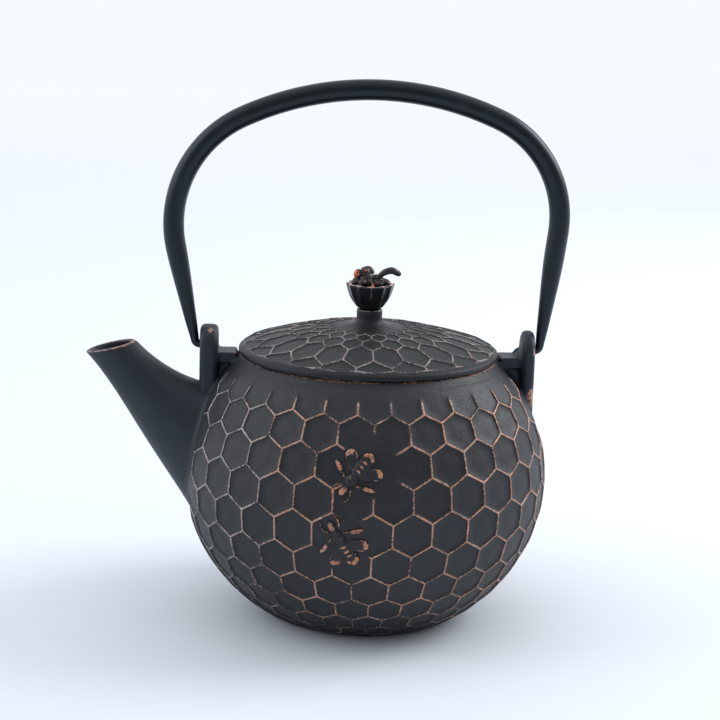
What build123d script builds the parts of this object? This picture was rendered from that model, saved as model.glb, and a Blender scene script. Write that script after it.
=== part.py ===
"""A cast iron teapot with a bail handle, a drop-on lid and a removable strainer.

Millimetres, +Z up. The origin is the centre of the flat foot, on the table.
The spout points along -X, and the handle swings about a line along X.
"""
from build123d import *
from math import atan2, cos, degrees, radians, sin, sqrt
import os

# Pot: an ellipse turned round the Z axis, in two halves that meet at the widest ring
BODY_R = 78.0
EQUATOR_Z = 61.75
LOWER_H = 71.25
UPPER_H = 74.0
WALL = 3.4
FLOOR_Z = 4.0
MOUTH_Z = 114.3
SEAT_R = 50.0
SEAT_Z = 112.2
THROAT_R = 46.5
THROAT_Z = 109.2
# The pot is written as a floor and rings, because one bowl has no simple collision shape
POT_BANDS = [
    ("pot_floor", 0.0, FLOOR_Z),
    ("pot_lower_wall", FLOOR_Z, 40.0),
    ("pot_belly_wall", 40.0, 84.0),
    ("pot_upper_wall", 84.0, THROAT_Z),
    ("pot_seat_ring", THROAT_Z, SEAT_Z),
    ("pot_lip", SEAT_Z, MOUTH_Z),
]

# Spout: centre x, centre z, tilt of the section in degrees, half depth, half width
SPOUT_SECTIONS = [
    (-110.65, 115.6, 13.7, 10.95, 8.6),
    (-102.3, 106.1, 31.8, 10.8, 8.9),
    (-87.0, 88.6, 62.5, 16.6, 13.5),
    (-70.0, 72.0, 77.0, 27.5, 20.5),
]
SPOUT_WALL = 2.3
SPOUT_BORE_REACH = 0.5
SPOUT_OPENING_Z = 78.0
SPOUT_OPENING_H = 32.0
SPOUT_OPENING_W = 24.0

# Ears that hold the handle
PIVOT_Z = 117.3
EAR_OUTER_X = 72.5
EAR_INNER_X = 64.6
EAR_HALF_W = 8.75
EAR_FOOT_Z = 84.0
EAR_HOLE_R = 2.1
ARM_INNER_X = 57.0
ARM_HALF_W = 6.5
ARM_TOP_Z = 115.0
ARM_DEPTH = 4.5
WEB_HALF_W = 4.0
WEB_FOOT_Z = 96.0

# Handle: a steel tube bow with two tapered legs. It is bent by hand, so its sides differ
BOW_TOP_Z = 227.6
BOW_TOP_RADIUS = 129.0
BOW_SIDES = {-1: {"shoulder": 50.5, "lean": 12.0}, 1: {"shoulder": 46.3, "lean": 6.0}}
TUBE_R = 4.45
TUBE_WALL = 1.1
LEG_LENGTH = 38.0
LEG_RADII = [(0.0, 1.75), (6.0, 2.05), (15.0, 2.65), (27.0, 3.55), (38.0, 4.3)]
SPIGOT_R = 3.0
SPIGOT_LENGTH = 4.0
HOOK_X = 74.85
HOOK_BEND = 2.3
HOOK_R = 1.75
HOOK_TIP_X = 65.2

# Lid
REST_GAP = 0.3
LID_R = 56.0
LID_RIM_Z = 117.2
LID_RISE = 10.0
LID_POWER = 1.1
LID_WALL = 3.0
LID_SPLIT_R = 44.0
SKIRT_R = 38.0
SKIRT_WALL = 2.5
SKIRT_Z = 109.0
COLLAR_R = 5.5
COLLAR_Z = 134.2
COLLAR_FLARE_Z = 130.2
COLLAR_FLARE_R = 9.5
COLLAR_FLARE_MID = (6.6, 128.3)
RIM_ROUND = 0.6
RIM_WIDEST_Z = 116.2
RIM_FOOT_IN = 0.3
ROOF_END_RISE = 0.4

# Knob: a fluted cup that holds a bee, on a screw from under the lid
CUP_PROFILE = [(4.2, 134.2), (6.0, 135.5), (7.5, 137.5), (8.9, 140.1), (10.5, 145.2)]
CUP_RIM_R = 8.8
CUP_HOLLOW_R = 5.0
CUP_HOLLOW_Z = 140.6
CUP_FLUTES = 12
FLUTE_R = 1.35
FLUTE_AXIS = (10.9, 141.5)
FLUTE_LEAN = 25.0
FLUTE_LENGTH = 16.0
# The bee's eggs: centre, half sizes, and turn about Z in degrees
BEE_BODY = ((-0.4, 0, 146.6), (5.6, 4.4, 5.2), 0)
BEE_HEAD = ((-5.6, -1.5, 149.2), (2.2, 1.9, 2.0), 0)
BEE_WING = ((8.0, -1.0, 150.0), (5.2, 2.6, 1.1), 8)
BEE_PLUG_R = 4.4
SCREW_R = 2.0
SCREW_TOP_Z = 139.0
SCREW_HEAD_R = 3.8
SCREW_HEAD_H = 2.4
SCREW_SLOT_W = 1.0
SCREW_SLOT_DEPTH = 1.0
SCREW_HOLE_R = 2.2
WASHER_R = 5.6
WASHER_H = 1.0
BOSS_R = 7.5
BOSS_Z = 121.5

# Strainer
STRAINER_R = 40.0
STRAINER_WALL = 0.8
STRAINER_FOOT_Z = 48.0
STRAINER_RIM_R = 49.3
STRAINER_RIM_H = 0.8
STRAINER_NECK_H = 7.0
STRAINER_BAND_H = 5.0
STRAINER_BAND_OUT = 0.5


def turned(outline):
    """A solid of revolution from a closed outline of edges in the XZ plane."""
    return revolve(make_face(outline), Axis.Z)


def ellipse_r(z, radius, lower, upper):
    """Radius of the two-part ellipse at height z."""
    half = upper if z > EQUATOR_Z else lower
    return radius * sqrt(1 - ((z - EQUATOR_Z) / half) ** 2)


def belly_edges(radius, lower, upper, low_z, high_z):
    """The outline of a belly from low_z to high_z, as two elliptical arcs."""
    below = degrees(atan2((EQUATOR_Z - low_z) / lower, ellipse_r(low_z, radius, lower, upper) / radius))
    above = degrees(atan2((high_z - EQUATOR_Z) / upper, ellipse_r(high_z, radius, lower, upper) / radius))
    centre = (0, EQUATOR_Z)
    low = EllipticalCenterArc(centre, radius, lower, start_angle=-below, arc_size=below)
    high = EllipticalCenterArc(centre, radius, upper, start_angle=0, arc_size=above)
    return [Plane.XZ * low, Plane.XZ * high]


def xz_line(*points):
    """Straight edges through (x, z) points."""
    return [Line((a[0], 0, a[1]), (b[0], 0, b[1])) for a, b in zip(points, points[1:])]


def pot_outer():
    """The pot's outer form as one full solid, with a flat foot and a flat top."""
    foot_r = ellipse_r(0, BODY_R, LOWER_H, UPPER_H)
    mouth_r = ellipse_r(MOUTH_Z, BODY_R, LOWER_H, UPPER_H)
    edges = belly_edges(BODY_R, LOWER_H, UPPER_H, 0, MOUTH_Z)
    edges += xz_line((mouth_r, MOUTH_Z), (0, MOUTH_Z), (0, 0), (foot_r, 0))
    return turned(edges)


def pot_hollow():
    """What is taken out of the pot: the belly, the throat and the strainer's seat."""
    radius, lower, upper = BODY_R - WALL, LOWER_H - WALL, UPPER_H - WALL
    floor_r = ellipse_r(FLOOR_Z, radius, lower, upper)
    roof_r = ellipse_r(THROAT_Z, radius, lower, upper)
    edges = belly_edges(radius, lower, upper, FLOOR_Z, THROAT_Z)
    edges += xz_line((roof_r, THROAT_Z), (0, THROAT_Z), (0, FLOOR_Z), (floor_r, FLOOR_Z))
    throat = Pos(0, 0, (THROAT_Z + MOUTH_Z) / 2) * Cylinder(THROAT_R, MOUTH_Z - THROAT_Z + 2)
    seat = Pos(0, 0, SEAT_Z + 5) * Cylinder(SEAT_R, 10)
    return turned(edges) + throat + seat


def pot_pieces(outer):
    """The pot's floor and rings by name, cut from one shell at level planes."""
    shell = outer - pot_hollow() - spout_opening()
    pieces = {}
    for name, low, high in POT_BANDS:
        slab = Pos(0, 0, (low + high) / 2) * Box(3 * BODY_R, 3 * BODY_R, high - low)
        pieces[name] = shell & slab
    return pieces


def spout_opening():
    """The oval hole through the pot's wall behind the spout."""
    oval = Plane.YZ * Pos(0, SPOUT_OPENING_Z) * Ellipse(SPOUT_OPENING_W / 2, SPOUT_OPENING_H / 2)
    return Pos(-BODY_R - 10, 0, 0) * extrude(oval, 30)


def spout_form(thinner, reach):
    """The spout as a full solid. thinner is taken off every side, and reach lengthens the mouth."""
    sections = []
    for number, (x, z, tilt, depth, width) in enumerate(SPOUT_SECTIONS):
        along = Vector(cos(radians(tilt)), 0, sin(radians(tilt)))
        outward = Vector(-sin(radians(tilt)), 0, cos(radians(tilt)))
        centre = Vector(x, 0, z) + outward * (reach if number == 0 else 0)
        plane = Plane(origin=centre, x_dir=along, z_dir=outward)
        sections.append(plane * Ellipse(depth - thinner, width - thinner))
    return loft(sections)


def ear(side, pot, spout):
    """One ear: a round-topped post with the hook's hole, and an arm and web back to the collar."""
    thick = EAR_OUTER_X - EAR_INNER_X
    middle_x = (EAR_OUTER_X + EAR_INNER_X) / 2
    post = Pos(middle_x, 0, (PIVOT_Z + EAR_FOOT_Z) / 2) * Box(thick, 2 * EAR_HALF_W, PIVOT_Z - EAR_FOOT_Z)
    head = Pos(middle_x, 0, PIVOT_Z) * Rot(0, 90, 0) * Cylinder(EAR_HALF_W, thick)
    arm_length = EAR_INNER_X - ARM_INNER_X + 1
    arm_x = ARM_INNER_X + arm_length / 2
    arm = Pos(arm_x, 0, ARM_TOP_Z - ARM_DEPTH / 2) * Box(arm_length, 2 * ARM_HALF_W, ARM_DEPTH)
    web_height = ARM_TOP_Z - WEB_FOOT_Z
    web = Pos(arm_x, 0, ARM_TOP_Z - web_height / 2) * Box(arm_length, 2 * WEB_HALF_W, web_height)
    hole = Pos(middle_x, 0, PIVOT_Z) * Rot(0, 90, 0) * Cylinder(EAR_HOLE_R, thick + 2)
    shape = post + head + arm + web - hole
    if side < 0:
        shape = mirror(shape, about=Plane.YZ)
    return shape - pot - spout


def bow_side(side):
    """Where one side of the bow runs: its arcs' centres and ends, and its leg's line, in the XZ plane."""
    shoulder = BOW_SIDES[side]["shoulder"]
    lean = radians(BOW_SIDES[side]["lean"])
    up = Vector(sin(lean), 0, cos(lean))
    out = Vector(cos(lean), 0, -sin(lean))
    hook = Vector(HOOK_X, 0, PIVOT_Z + HOOK_BEND)
    top_centre = Vector(0, 0, BOW_TOP_Z - BOW_TOP_RADIUS)
    # The shoulder's centre is one shoulder radius inside the leg's line, and the top arc touches it
    base = hook - out * shoulder - top_centre
    along = base.dot(up)
    reach = -along + sqrt(along ** 2 - base.dot(base) + (BOW_TOP_RADIUS - shoulder) ** 2)
    centre = hook - out * shoulder + up * reach
    away = (centre - top_centre).normalized()
    return {
        "hook": hook,
        "up": up,
        "leg_end": hook + up * reach,
        "shoulder_mid": centre + (away + out).normalized() * shoulder,
        "top_end": top_centre + away * BOW_TOP_RADIUS,
    }


def flip(point, side):
    """A point on the +X side, taken to the given side."""
    return Vector(point.X * side, point.Y, point.Z)


def handle_bow():
    """The bow: one round tube along five tangent lines and arcs, from leg to leg."""
    left, right = bow_side(-1), bow_side(1)
    joint_left = left["hook"] + left["up"] * LEG_LENGTH
    joint_right = right["hook"] + right["up"] * LEG_LENGTH
    path = Wire([
        Line(flip(joint_left, -1), flip(left["leg_end"], -1)),
        ThreePointArc(flip(left["leg_end"], -1), flip(left["shoulder_mid"], -1), flip(left["top_end"], -1)),
        ThreePointArc(flip(left["top_end"], -1), Vector(0, 0, BOW_TOP_Z), right["top_end"]),
        ThreePointArc(right["top_end"], right["shoulder_mid"], right["leg_end"]),
        Line(right["leg_end"], joint_right),
    ])
    start = Plane(origin=path @ 0, z_dir=path % 0)
    ring = Circle(TUBE_R) - Circle(TUBE_R - TUBE_WALL)
    return sweep(start * ring, path=path)


def handle_leg(side):
    """A tapered leg: a spigot in the bow's tube, a smooth taper, and a hook into the ear's hole."""
    where = bow_side(side)
    taper = Spline([(r, 0, h) for h, r in LEG_RADII])
    neck_r = LEG_RADII[-1][1]
    edges = [taper]
    edges += xz_line((neck_r, LEG_LENGTH), (0, LEG_LENGTH), (0, 0), (LEG_RADII[0][1], 0))
    rod = turned(edges)
    rod += Pos(0, 0, LEG_LENGTH + SPIGOT_LENGTH / 2) * Cylinder(SPIGOT_R, SPIGOT_LENGTH)
    leg_plane = Plane(origin=where["hook"], x_dir=(0, 1, 0), z_dir=where["up"])
    bend_centre = Vector(HOOK_X - HOOK_BEND, 0, PIVOT_Z + HOOK_BEND)
    bend_end = Vector(HOOK_X - HOOK_BEND, 0, PIVOT_Z)
    middle = bend_centre + Vector(cos(radians(-45)), 0, sin(radians(-45))) * HOOK_BEND
    path = Wire([
        ThreePointArc(where["hook"], middle, bend_end),
        Line(bend_end, Vector(HOOK_TIP_X, 0, PIVOT_Z)),
    ])
    hook = sweep(Plane(origin=where["hook"], z_dir=path % 0) * Circle(HOOK_R), path=path)
    heel = Pos(where["hook"]) * Sphere(HOOK_R)
    shape = leg_plane * rod + hook + heel
    return shape if side > 0 else mirror(shape, about=Plane.YZ)


def lid_z(r):
    """Height of the lid's dome at radius r."""
    return LID_RIM_Z + LID_RISE * (1 - (r / LID_R) ** 2) ** LID_POWER


def lid_form():
    """The lid without its skirt: a rounded rim, a low dome, the knob's collar and a boss below it."""
    rest_z = MOUTH_Z + REST_GAP
    dome = [(r, 0, lid_z(r)) for r in (COLLAR_FLARE_R, 20, 32, 44, 52)]
    dome.append((LID_R - RIM_ROUND, 0, LID_RIM_Z - RIM_ROUND / 6))
    roof = [(r, 0, lid_z(r) - LID_WALL) for r in (BOSS_R, 20, 32, 44)]
    roof.append((SEAT_R, 0, rest_z + ROOF_END_RISE))
    flare_end = (COLLAR_FLARE_R, 0, lid_z(COLLAR_FLARE_R))
    flare_mid = (COLLAR_FLARE_MID[0], 0, COLLAR_FLARE_MID[1])
    collar_foot = (COLLAR_R, 0, COLLAR_FLARE_Z)
    rim_foot = (LID_R - RIM_FOOT_IN, 0, rest_z)
    edges = [
        Line((SCREW_HOLE_R, 0, COLLAR_Z), (COLLAR_R, 0, COLLAR_Z)),
        Line((COLLAR_R, 0, COLLAR_Z), collar_foot),
        ThreePointArc(collar_foot, flare_mid, flare_end),
        Spline(dome),
        ThreePointArc(dome[-1], (LID_R, 0, RIM_WIDEST_Z), rim_foot),
        Line(rim_foot, (SEAT_R, 0, rest_z)),
        Line((SEAT_R, 0, rest_z), roof[-1]),
        Spline(roof[::-1]),
        Line(roof[0], (BOSS_R, 0, BOSS_Z)),
        Line((BOSS_R, 0, BOSS_Z), (SCREW_HOLE_R, 0, BOSS_Z)),
        Line((SCREW_HOLE_R, 0, BOSS_Z), (SCREW_HOLE_R, 0, COLLAR_Z)),
    ]
    return turned(edges)


def lid_pieces():
    """The lid's dome, rim and skirt by name. They are one casting, cut at level rings."""
    form = lid_form()
    core = Pos(0, 0, LID_RIM_Z) * Cylinder(LID_SPLIT_R, 4 * LID_RISE)
    skirt = tube(SKIRT_R, SKIRT_R - SKIRT_WALL, SKIRT_Z, lid_z(SKIRT_R) - LID_WALL / 2)
    return {"lid": form & core, "lid_rim": form - core, "lid_skirt": skirt - form}


def knob_cup():
    """The knob's cup, with flutes down its side and a hollow for the bee."""
    edges = [Spline([(r, 0, z) for r, z in CUP_PROFILE])]
    hollow = (CUP_HOLLOW_R, CUP_HOLLOW_Z)
    edges += xz_line(CUP_PROFILE[-1], (CUP_RIM_R, CUP_PROFILE[-1][1]), hollow)
    edges += xz_line(hollow, (0, CUP_HOLLOW_Z), (0, CUP_PROFILE[0][1]), CUP_PROFILE[0])
    cup = turned(edges)
    cup -= Pos(0, 0, (COLLAR_Z + SCREW_TOP_Z) / 2) * Cylinder(SCREW_R, SCREW_TOP_Z - COLLAR_Z)
    flute = Pos(FLUTE_AXIS[0], 0, FLUTE_AXIS[1]) * Rot(0, FLUTE_LEAN, 0) * Cylinder(FLUTE_R, FLUTE_LENGTH)
    for number in range(CUP_FLUTES):
        cup -= Rot(0, 0, number * 360 / CUP_FLUTES) * flute
    return cup


def egg(centre, half_sizes, turn):
    """An ellipsoid about a point, with its half sizes, turned about Z."""
    return Pos(*centre) * Rot(0, 0, turn) * scale(Sphere(1), by=half_sizes)


def knob_bee():
    """The bee in the cup: body, head and one raised wing. Its underside fills the cup's hollow."""
    bee = egg(*BEE_BODY) + egg(*BEE_HEAD) + egg(*BEE_WING)
    middle_z = BEE_BODY[0][2]
    bee += Pos(0, 0, (CUP_HOLLOW_Z + middle_z) / 2) * Cylinder(BEE_PLUG_R, middle_z - CUP_HOLLOW_Z)
    return bee - knob_cup()


def knob_screw():
    """A pan head screw from below, through the lid's boss into the cup."""
    under = BOSS_Z - WASHER_H
    shank = Pos(0, 0, (under + SCREW_TOP_Z) / 2) * Cylinder(SCREW_R, SCREW_TOP_Z - under)
    head = Pos(0, 0, under - SCREW_HEAD_H / 2) * Cylinder(SCREW_HEAD_R, SCREW_HEAD_H)
    slot = Pos(0, 0, under - SCREW_HEAD_H) * Box(3 * SCREW_HEAD_R, SCREW_SLOT_W, 2 * SCREW_SLOT_DEPTH)
    return shank + head - slot


def knob_washer():
    """The washer between the screw's head and the lid's boss."""
    ring = Cylinder(WASHER_R, WASHER_H) - Cylinder(SCREW_HOLE_R, WASHER_H + 1)
    return Pos(0, 0, BOSS_Z - WASHER_H / 2) * ring


def tube(outer, inner, low, high):
    """A plain ring round Z, from low to high."""
    ring = Cylinder(outer, high - low) - Cylinder(inner, high - low + 1)
    return Pos(0, 0, (low + high) / 2) * ring


def strainer():
    """The strainer's four pieces by name: rim, wall, foot band and floor."""
    rim_low = SEAT_Z + REST_GAP
    inside = STRAINER_R - STRAINER_WALL
    neck_low = rim_low - STRAINER_NECK_H
    rim = tube(STRAINER_RIM_R, inside, rim_low, rim_low + STRAINER_RIM_H)
    rim += tube(STRAINER_R, inside, neck_low, rim_low)
    band_high = STRAINER_FOOT_Z + STRAINER_BAND_H
    floor_high = STRAINER_FOOT_Z + STRAINER_WALL
    return {
        "infuser_rim": rim,
        "infuser_wall": tube(STRAINER_R, inside, band_high, neck_low),
        "infuser_foot_band": tube(STRAINER_R + STRAINER_BAND_OUT, inside, STRAINER_FOOT_Z, band_high),
        "infuser_floor": Pos(0, 0, (STRAINER_FOOT_Z + floor_high) / 2) * Cylinder(inside, STRAINER_WALL),
    }


def main():
    """Builds every piece and writes one file for each."""
    outer = pot_outer()
    spout = spout_form(0, 0)
    pieces = pot_pieces(outer)
    pieces.update(lid_pieces())
    pieces.update(strainer())
    pieces.update({
        "spout": spout - spout_form(SPOUT_WALL, SPOUT_BORE_REACH) - outer,
        "ear_spout_side": ear(-1, outer, spout),
        "ear_back": ear(1, outer, spout),
        "handle_bow": handle_bow(),
        "handle_leg_spout_side": handle_leg(-1),
        "handle_leg_back": handle_leg(1),
        "knob_cup": knob_cup(),
        "knob_bee": knob_bee(),
        "knob_screw": knob_screw(),
        "knob_washer": knob_washer(),
    })
    os.makedirs("parts", exist_ok=True)
    for name, shape in pieces.items():
        export_step(shape, f"parts/{name}.step")
        print(name, "solids", len(shape.solids()), "volume", round(shape.volume))


main()
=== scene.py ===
import math

import bmesh
import bpy
import numpy as np
from mathutils import Matrix, Vector, noise


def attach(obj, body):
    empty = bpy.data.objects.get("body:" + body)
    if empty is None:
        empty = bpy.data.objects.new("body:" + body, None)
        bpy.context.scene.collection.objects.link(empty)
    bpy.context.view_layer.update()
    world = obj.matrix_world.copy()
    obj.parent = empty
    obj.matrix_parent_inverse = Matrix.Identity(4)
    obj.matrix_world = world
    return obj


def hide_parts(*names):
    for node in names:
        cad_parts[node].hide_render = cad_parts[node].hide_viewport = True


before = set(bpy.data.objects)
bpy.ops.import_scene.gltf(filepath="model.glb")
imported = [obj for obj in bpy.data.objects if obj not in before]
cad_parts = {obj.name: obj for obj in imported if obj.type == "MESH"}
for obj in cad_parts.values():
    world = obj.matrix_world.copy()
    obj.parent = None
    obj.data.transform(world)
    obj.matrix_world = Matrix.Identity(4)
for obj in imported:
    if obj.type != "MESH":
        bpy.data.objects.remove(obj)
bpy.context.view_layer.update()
scene = bpy.context.scene
mm = 0.001                                   # every size below is in millimetres


def newPiece(name, points, faces):
    data = bpy.data.meshes.new(name)
    data.from_pydata([tuple(p) for p in np.asarray(points, float) * mm], [], faces)
    piece = bpy.data.objects.new(name, data)
    scene.collection.objects.link(piece)
    return piece


def pointsOf(piece):
    flat = np.empty(len(piece.data.vertices) * 3)
    piece.data.vertices.foreach_get("co", flat)
    return flat.reshape(-1, 3) / mm


def setPoints(piece, points):
    piece.data.vertices.foreach_set("co", (np.asarray(points) * mm).ravel())
    piece.data.update()


def edgesOf(piece):
    flat = np.empty(len(piece.data.edges) * 2, int)
    piece.data.edges.foreach_get("vertices", flat)
    return flat.reshape(-1, 2)


def normalsOf(piece):
    flat = np.empty(len(piece.data.vertices) * 3)
    piece.data.vertices.foreach_get("normal", flat)
    return flat.reshape(-1, 3)


def neighbourMean(values, edges):
    total = np.zeros_like(values)
    count = np.zeros(len(values))
    for a, b in ((0, 1), (1, 0)):
        np.add.at(total, edges[:, a], values[edges[:, b]])
        np.add.at(count, edges[:, a], 1)
    count = np.maximum(count, 1)
    return total / (count[:, None] if values.ndim > 1 else count)


def relax(piece, rounds, share=0.5):
    points, edges = pointsOf(piece), edgesOf(piece)
    for _ in range(rounds):
        points += share * (neighbourMean(points, edges) - points)
    setPoints(piece, points)


def smoothStep(values, low, high):
    t = np.clip((values - low) / (high - low), 0, 1)
    return t * t * (3 - 2 * t)


def setCrest(piece, values):                 # how far a spot stands up, which is where the lacquer rubs off
    layer = piece.data.attributes.get("crest") or piece.data.attributes.new("crest", "FLOAT", "POINT")
    layer.data.foreach_set("value", np.asarray(values, np.float32))


def edgeCrest(piece, low, high, blur=2):     # high on outward corners of a dense, even mesh
    points, edges = pointsOf(piece), edgesOf(piece)
    spacing = np.linalg.norm(points[edges[:, 0]] - points[edges[:, 1]], axis=1).mean()
    bulge = np.einsum("ij,ij->i", points - neighbourMean(points, edges), normalsOf(piece)) / spacing
    for _ in range(blur):
        bulge = 0.5 * bulge + 0.5 * neighbourMean(bulge, edges)
    return smoothStep(bulge, low, high)


def joinRings(rings, firstIndex=0):          # quads between rings of equal length, each closed on itself
    faces = []
    count = len(rings[0])
    for row in range(len(rings) - 1):
        a, b = firstIndex + row * count, firstIndex + (row + 1) * count
        for i in range(count):
            j = (i + 1) % count
            faces.append((a + i, a + j, b + j, b + i))
    return faces


def ringSkin(rings, closeEnds=True, loopBack=False):
    points = [p for ring in rings for p in ring]
    count = len(rings[0])
    faces = joinRings(rings)
    if loopBack:
        last = (len(rings) - 1) * count
        faces += [(last + i, last + (i + 1) % count, (i + 1) % count, i) for i in range(count)]
    elif closeEnds:
        for start in (0, (len(rings) - 1) * count):
            middle = len(points)
            points.append(np.mean(points[start:start + count], axis=0))
            faces += [(start + i, start + (i + 1) % count, middle) for i in range(count)]
    return points, faces


def aroundCircle(count):
    return np.arange(count) * 2 * math.pi / count


def lathe(profile, count):                   # closed outline of (r, z) turned about Z
    angles = aroundCircle(count)
    return [[(r * math.sin(a), -r * math.cos(a), z) for a in angles] for r, z in profile]


def weldPoints(piece, distance):
    work = bmesh.new()
    work.from_mesh(piece.data)
    bmesh.ops.remove_doubles(work, verts=work.verts, dist=distance * mm)
    work.to_mesh(piece.data)
    work.free()


def faceOutwards(piece):
    work = bmesh.new()
    work.from_mesh(piece.data)
    bmesh.ops.recalc_face_normals(work, faces=work.faces)
    work.to_mesh(piece.data)
    work.free()
    return piece


def applyModifiers(piece):
    bpy.context.view_layer.update()
    graph = bpy.context.evaluated_depsgraph_get()
    made = bpy.data.meshes.new_from_object(piece.evaluated_get(graph))
    piece.modifiers.clear()
    piece.data = made
    return piece


def voxelSkin(name, parts, voxel):           # one watertight skin over several closed forms
    points, faces = [], []
    for partPoints, partFaces in parts:
        base = len(points)
        points += [tuple(p) for p in partPoints]
        faces += [tuple(base + i for i in f) for f in partFaces]
    piece = faceOutwards(newPiece(name, points, faces))
    remesh = piece.modifiers.new("skin", "REMESH")
    remesh.mode = "VOXEL"
    remesh.voxel_size = voxel * mm
    return applyModifiers(piece)


def cutHole(piece, cutter):
    cut = piece.modifiers.new("hole", "BOOLEAN")
    cut.operation = "DIFFERENCE"
    cut.solver = "EXACT"
    cut.object = cutter
    applyModifiers(piece)
    bpy.data.objects.remove(cutter)
    return piece


def eggForm(centre, half, turn=None, rings=14, count=20):
    angles = np.linspace(0, 2 * math.pi, count, endpoint=False)
    loops = []
    for lift in np.linspace(-math.pi / 2, math.pi / 2, rings + 1)[1:-1]:
        ring = np.stack([np.cos(lift) * np.cos(angles), np.cos(lift) * np.sin(angles),
                         np.full(count, math.sin(lift))], axis=1) * half
        loops.append(ring)
    points, faces = ringSkin(loops)
    points = np.array([np.asarray(p) for p in points])
    points[-2] = (0, 0, -half[2])
    points[-1] = (0, 0, half[2])
    if turn is not None:
        points = points @ np.array(turn).T
    return points + np.asarray(centre, float), faces


capSteps = (-0.97, -0.8, -0.45)              # how far out along its radius each ring of a rod's rounded end stands


def stroke(path, radii, flat=1.0, count=12, samples=20):    # a rounded rod through points, flattened along Z by flat
    path = np.asarray(path, float)
    spots = np.linspace(0, len(path) - 1, samples)
    smooth = np.stack([curveThrough(path[:, k], spots) for k in range(3)], axis=1)
    width = np.interp(spots, np.arange(len(radii)), radii)
    tangents = np.gradient(smooth, axis=0)
    tangents /= np.linalg.norm(tangents, axis=1)[:, None]
    order = [(smooth[0] + tangents[0] * width[0] * s, width[0] * math.sqrt(1 - s * s), tangents[0]) for s in capSteps]
    order += [(smooth[i], width[i], tangents[i]) for i in range(samples)]
    order += [(smooth[-1] - tangents[-1] * width[-1] * s, width[-1] * math.sqrt(1 - s * s), tangents[-1])
              for s in capSteps[::-1]]
    angles = aroundCircle(count)
    loops = []
    for centre, radius, tangent in order:
        side = np.cross(tangent, (0, 0, 1))
        size = np.linalg.norm(side)
        side = side / size if size > 1e-6 else np.array((1.0, 0, 0))
        up = np.cross(side, tangent)
        loops.append([centre + radius * (math.cos(a) * side + flat * math.sin(a) * up) for a in angles])
    return ringSkin(loops)


def curveThrough(values, spots):             # an even curve through evenly spaced values
    values = np.asarray(values, float)
    if len(values) < 3:
        return np.interp(spots, np.arange(len(values)), values)
    ends = np.concatenate([[2 * values[0] - values[1]], values, [2 * values[-1] - values[-2]]])
    index = np.clip(np.floor(spots).astype(int), 0, len(values) - 2)
    t = spots - index
    a, b, c, d = (ends[index + k] for k in range(4))
    return 0.5 * (2 * b + (c - a) * t + (2 * a - 5 * b + 4 * c - d) * t ** 2 + (3 * b - a - 3 * c + d) * t ** 3)


def dress(piece, body, materials, stands=()):
    piece.data.materials.clear()
    for material in materials:
        piece.data.materials.append(material)
    piece.data.shade_smooth()
    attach(piece, body)
    if stands:
        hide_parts(*stands)
    return piece


def addNode(tree, kind, **settings):
    node = tree.nodes.new(kind)
    for key, value in settings.items():
        setattr(node, key, value)
    return node


def mathNode(tree, operation, a, b=None, clamp=False):
    node = addNode(tree, "ShaderNodeMath", operation=operation, use_clamp=clamp)
    for index, value in enumerate((a, b)):
        if value is None:
            continue
        if isinstance(value, bpy.types.NodeSocket):
            tree.links.new(value, node.inputs[index])
        else:
            node.inputs[index].default_value = value
    return node.outputs[0]


def rangeNode(tree, value, fromLow, fromHigh, toLow=0.0, toHigh=1.0):
    node = addNode(tree, "ShaderNodeMapRange", interpolation_type="SMOOTHSTEP")
    tree.links.new(value, node.inputs["Value"])
    for key, number in (("From Min", fromLow), ("From Max", fromHigh), ("To Min", toLow), ("To Max", toHigh)):
        if isinstance(number, bpy.types.NodeSocket):
            tree.links.new(number, node.inputs[key])
        else:
            node.inputs[key].default_value = number
    return node.outputs["Result"]


def mixColour(tree, share, a, b):
    node = addNode(tree, "ShaderNodeMix", data_type="RGBA")
    for index, value in ((0, share), (6, a), (7, b)):
        if isinstance(value, bpy.types.NodeSocket):
            tree.links.new(value, node.inputs[index])
        elif index == 0:
            node.inputs[0].default_value = value
        else:
            node.inputs[index].default_value = (*value, 1.0)
    return node.outputs[2]


def noiseNode(tree, position, scale, detail=3.0, roughness=0.55):
    node = addNode(tree, "ShaderNodeTexNoise")
    tree.links.new(position, node.inputs["Vector"])
    if isinstance(scale, bpy.types.NodeSocket):
        tree.links.new(scale, node.inputs["Scale"])
    else:
        node.inputs["Scale"].default_value = scale
    node.inputs["Detail"].default_value = detail
    node.inputs["Roughness"].default_value = roughness
    return node.outputs["Fac"]


def shaderGroup(name, inputs, outputs):
    tree = bpy.data.node_groups.new(name, "ShaderNodeTree")
    for label, kind, value in inputs:
        socket = tree.interface.new_socket(label, in_out="INPUT", socket_type=kind)
        if value is not None:
            socket.default_value = value
    for label, kind in outputs:
        tree.interface.new_socket(label, in_out="OUTPUT", socket_type=kind)
    return tree, tree.nodes.new("NodeGroupInput"), tree.nodes.new("NodeGroupOutput")


def placeGroup(tree, group, position, **values):
    node = addNode(tree, "ShaderNodeGroup", node_tree=group)
    tree.links.new(position, node.inputs["position"])
    for key, value in values.items():
        if isinstance(value, bpy.types.NodeSocket):
            tree.links.new(value, node.inputs[key])
        else:
            node.inputs[key].default_value = value
    return node


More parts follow.
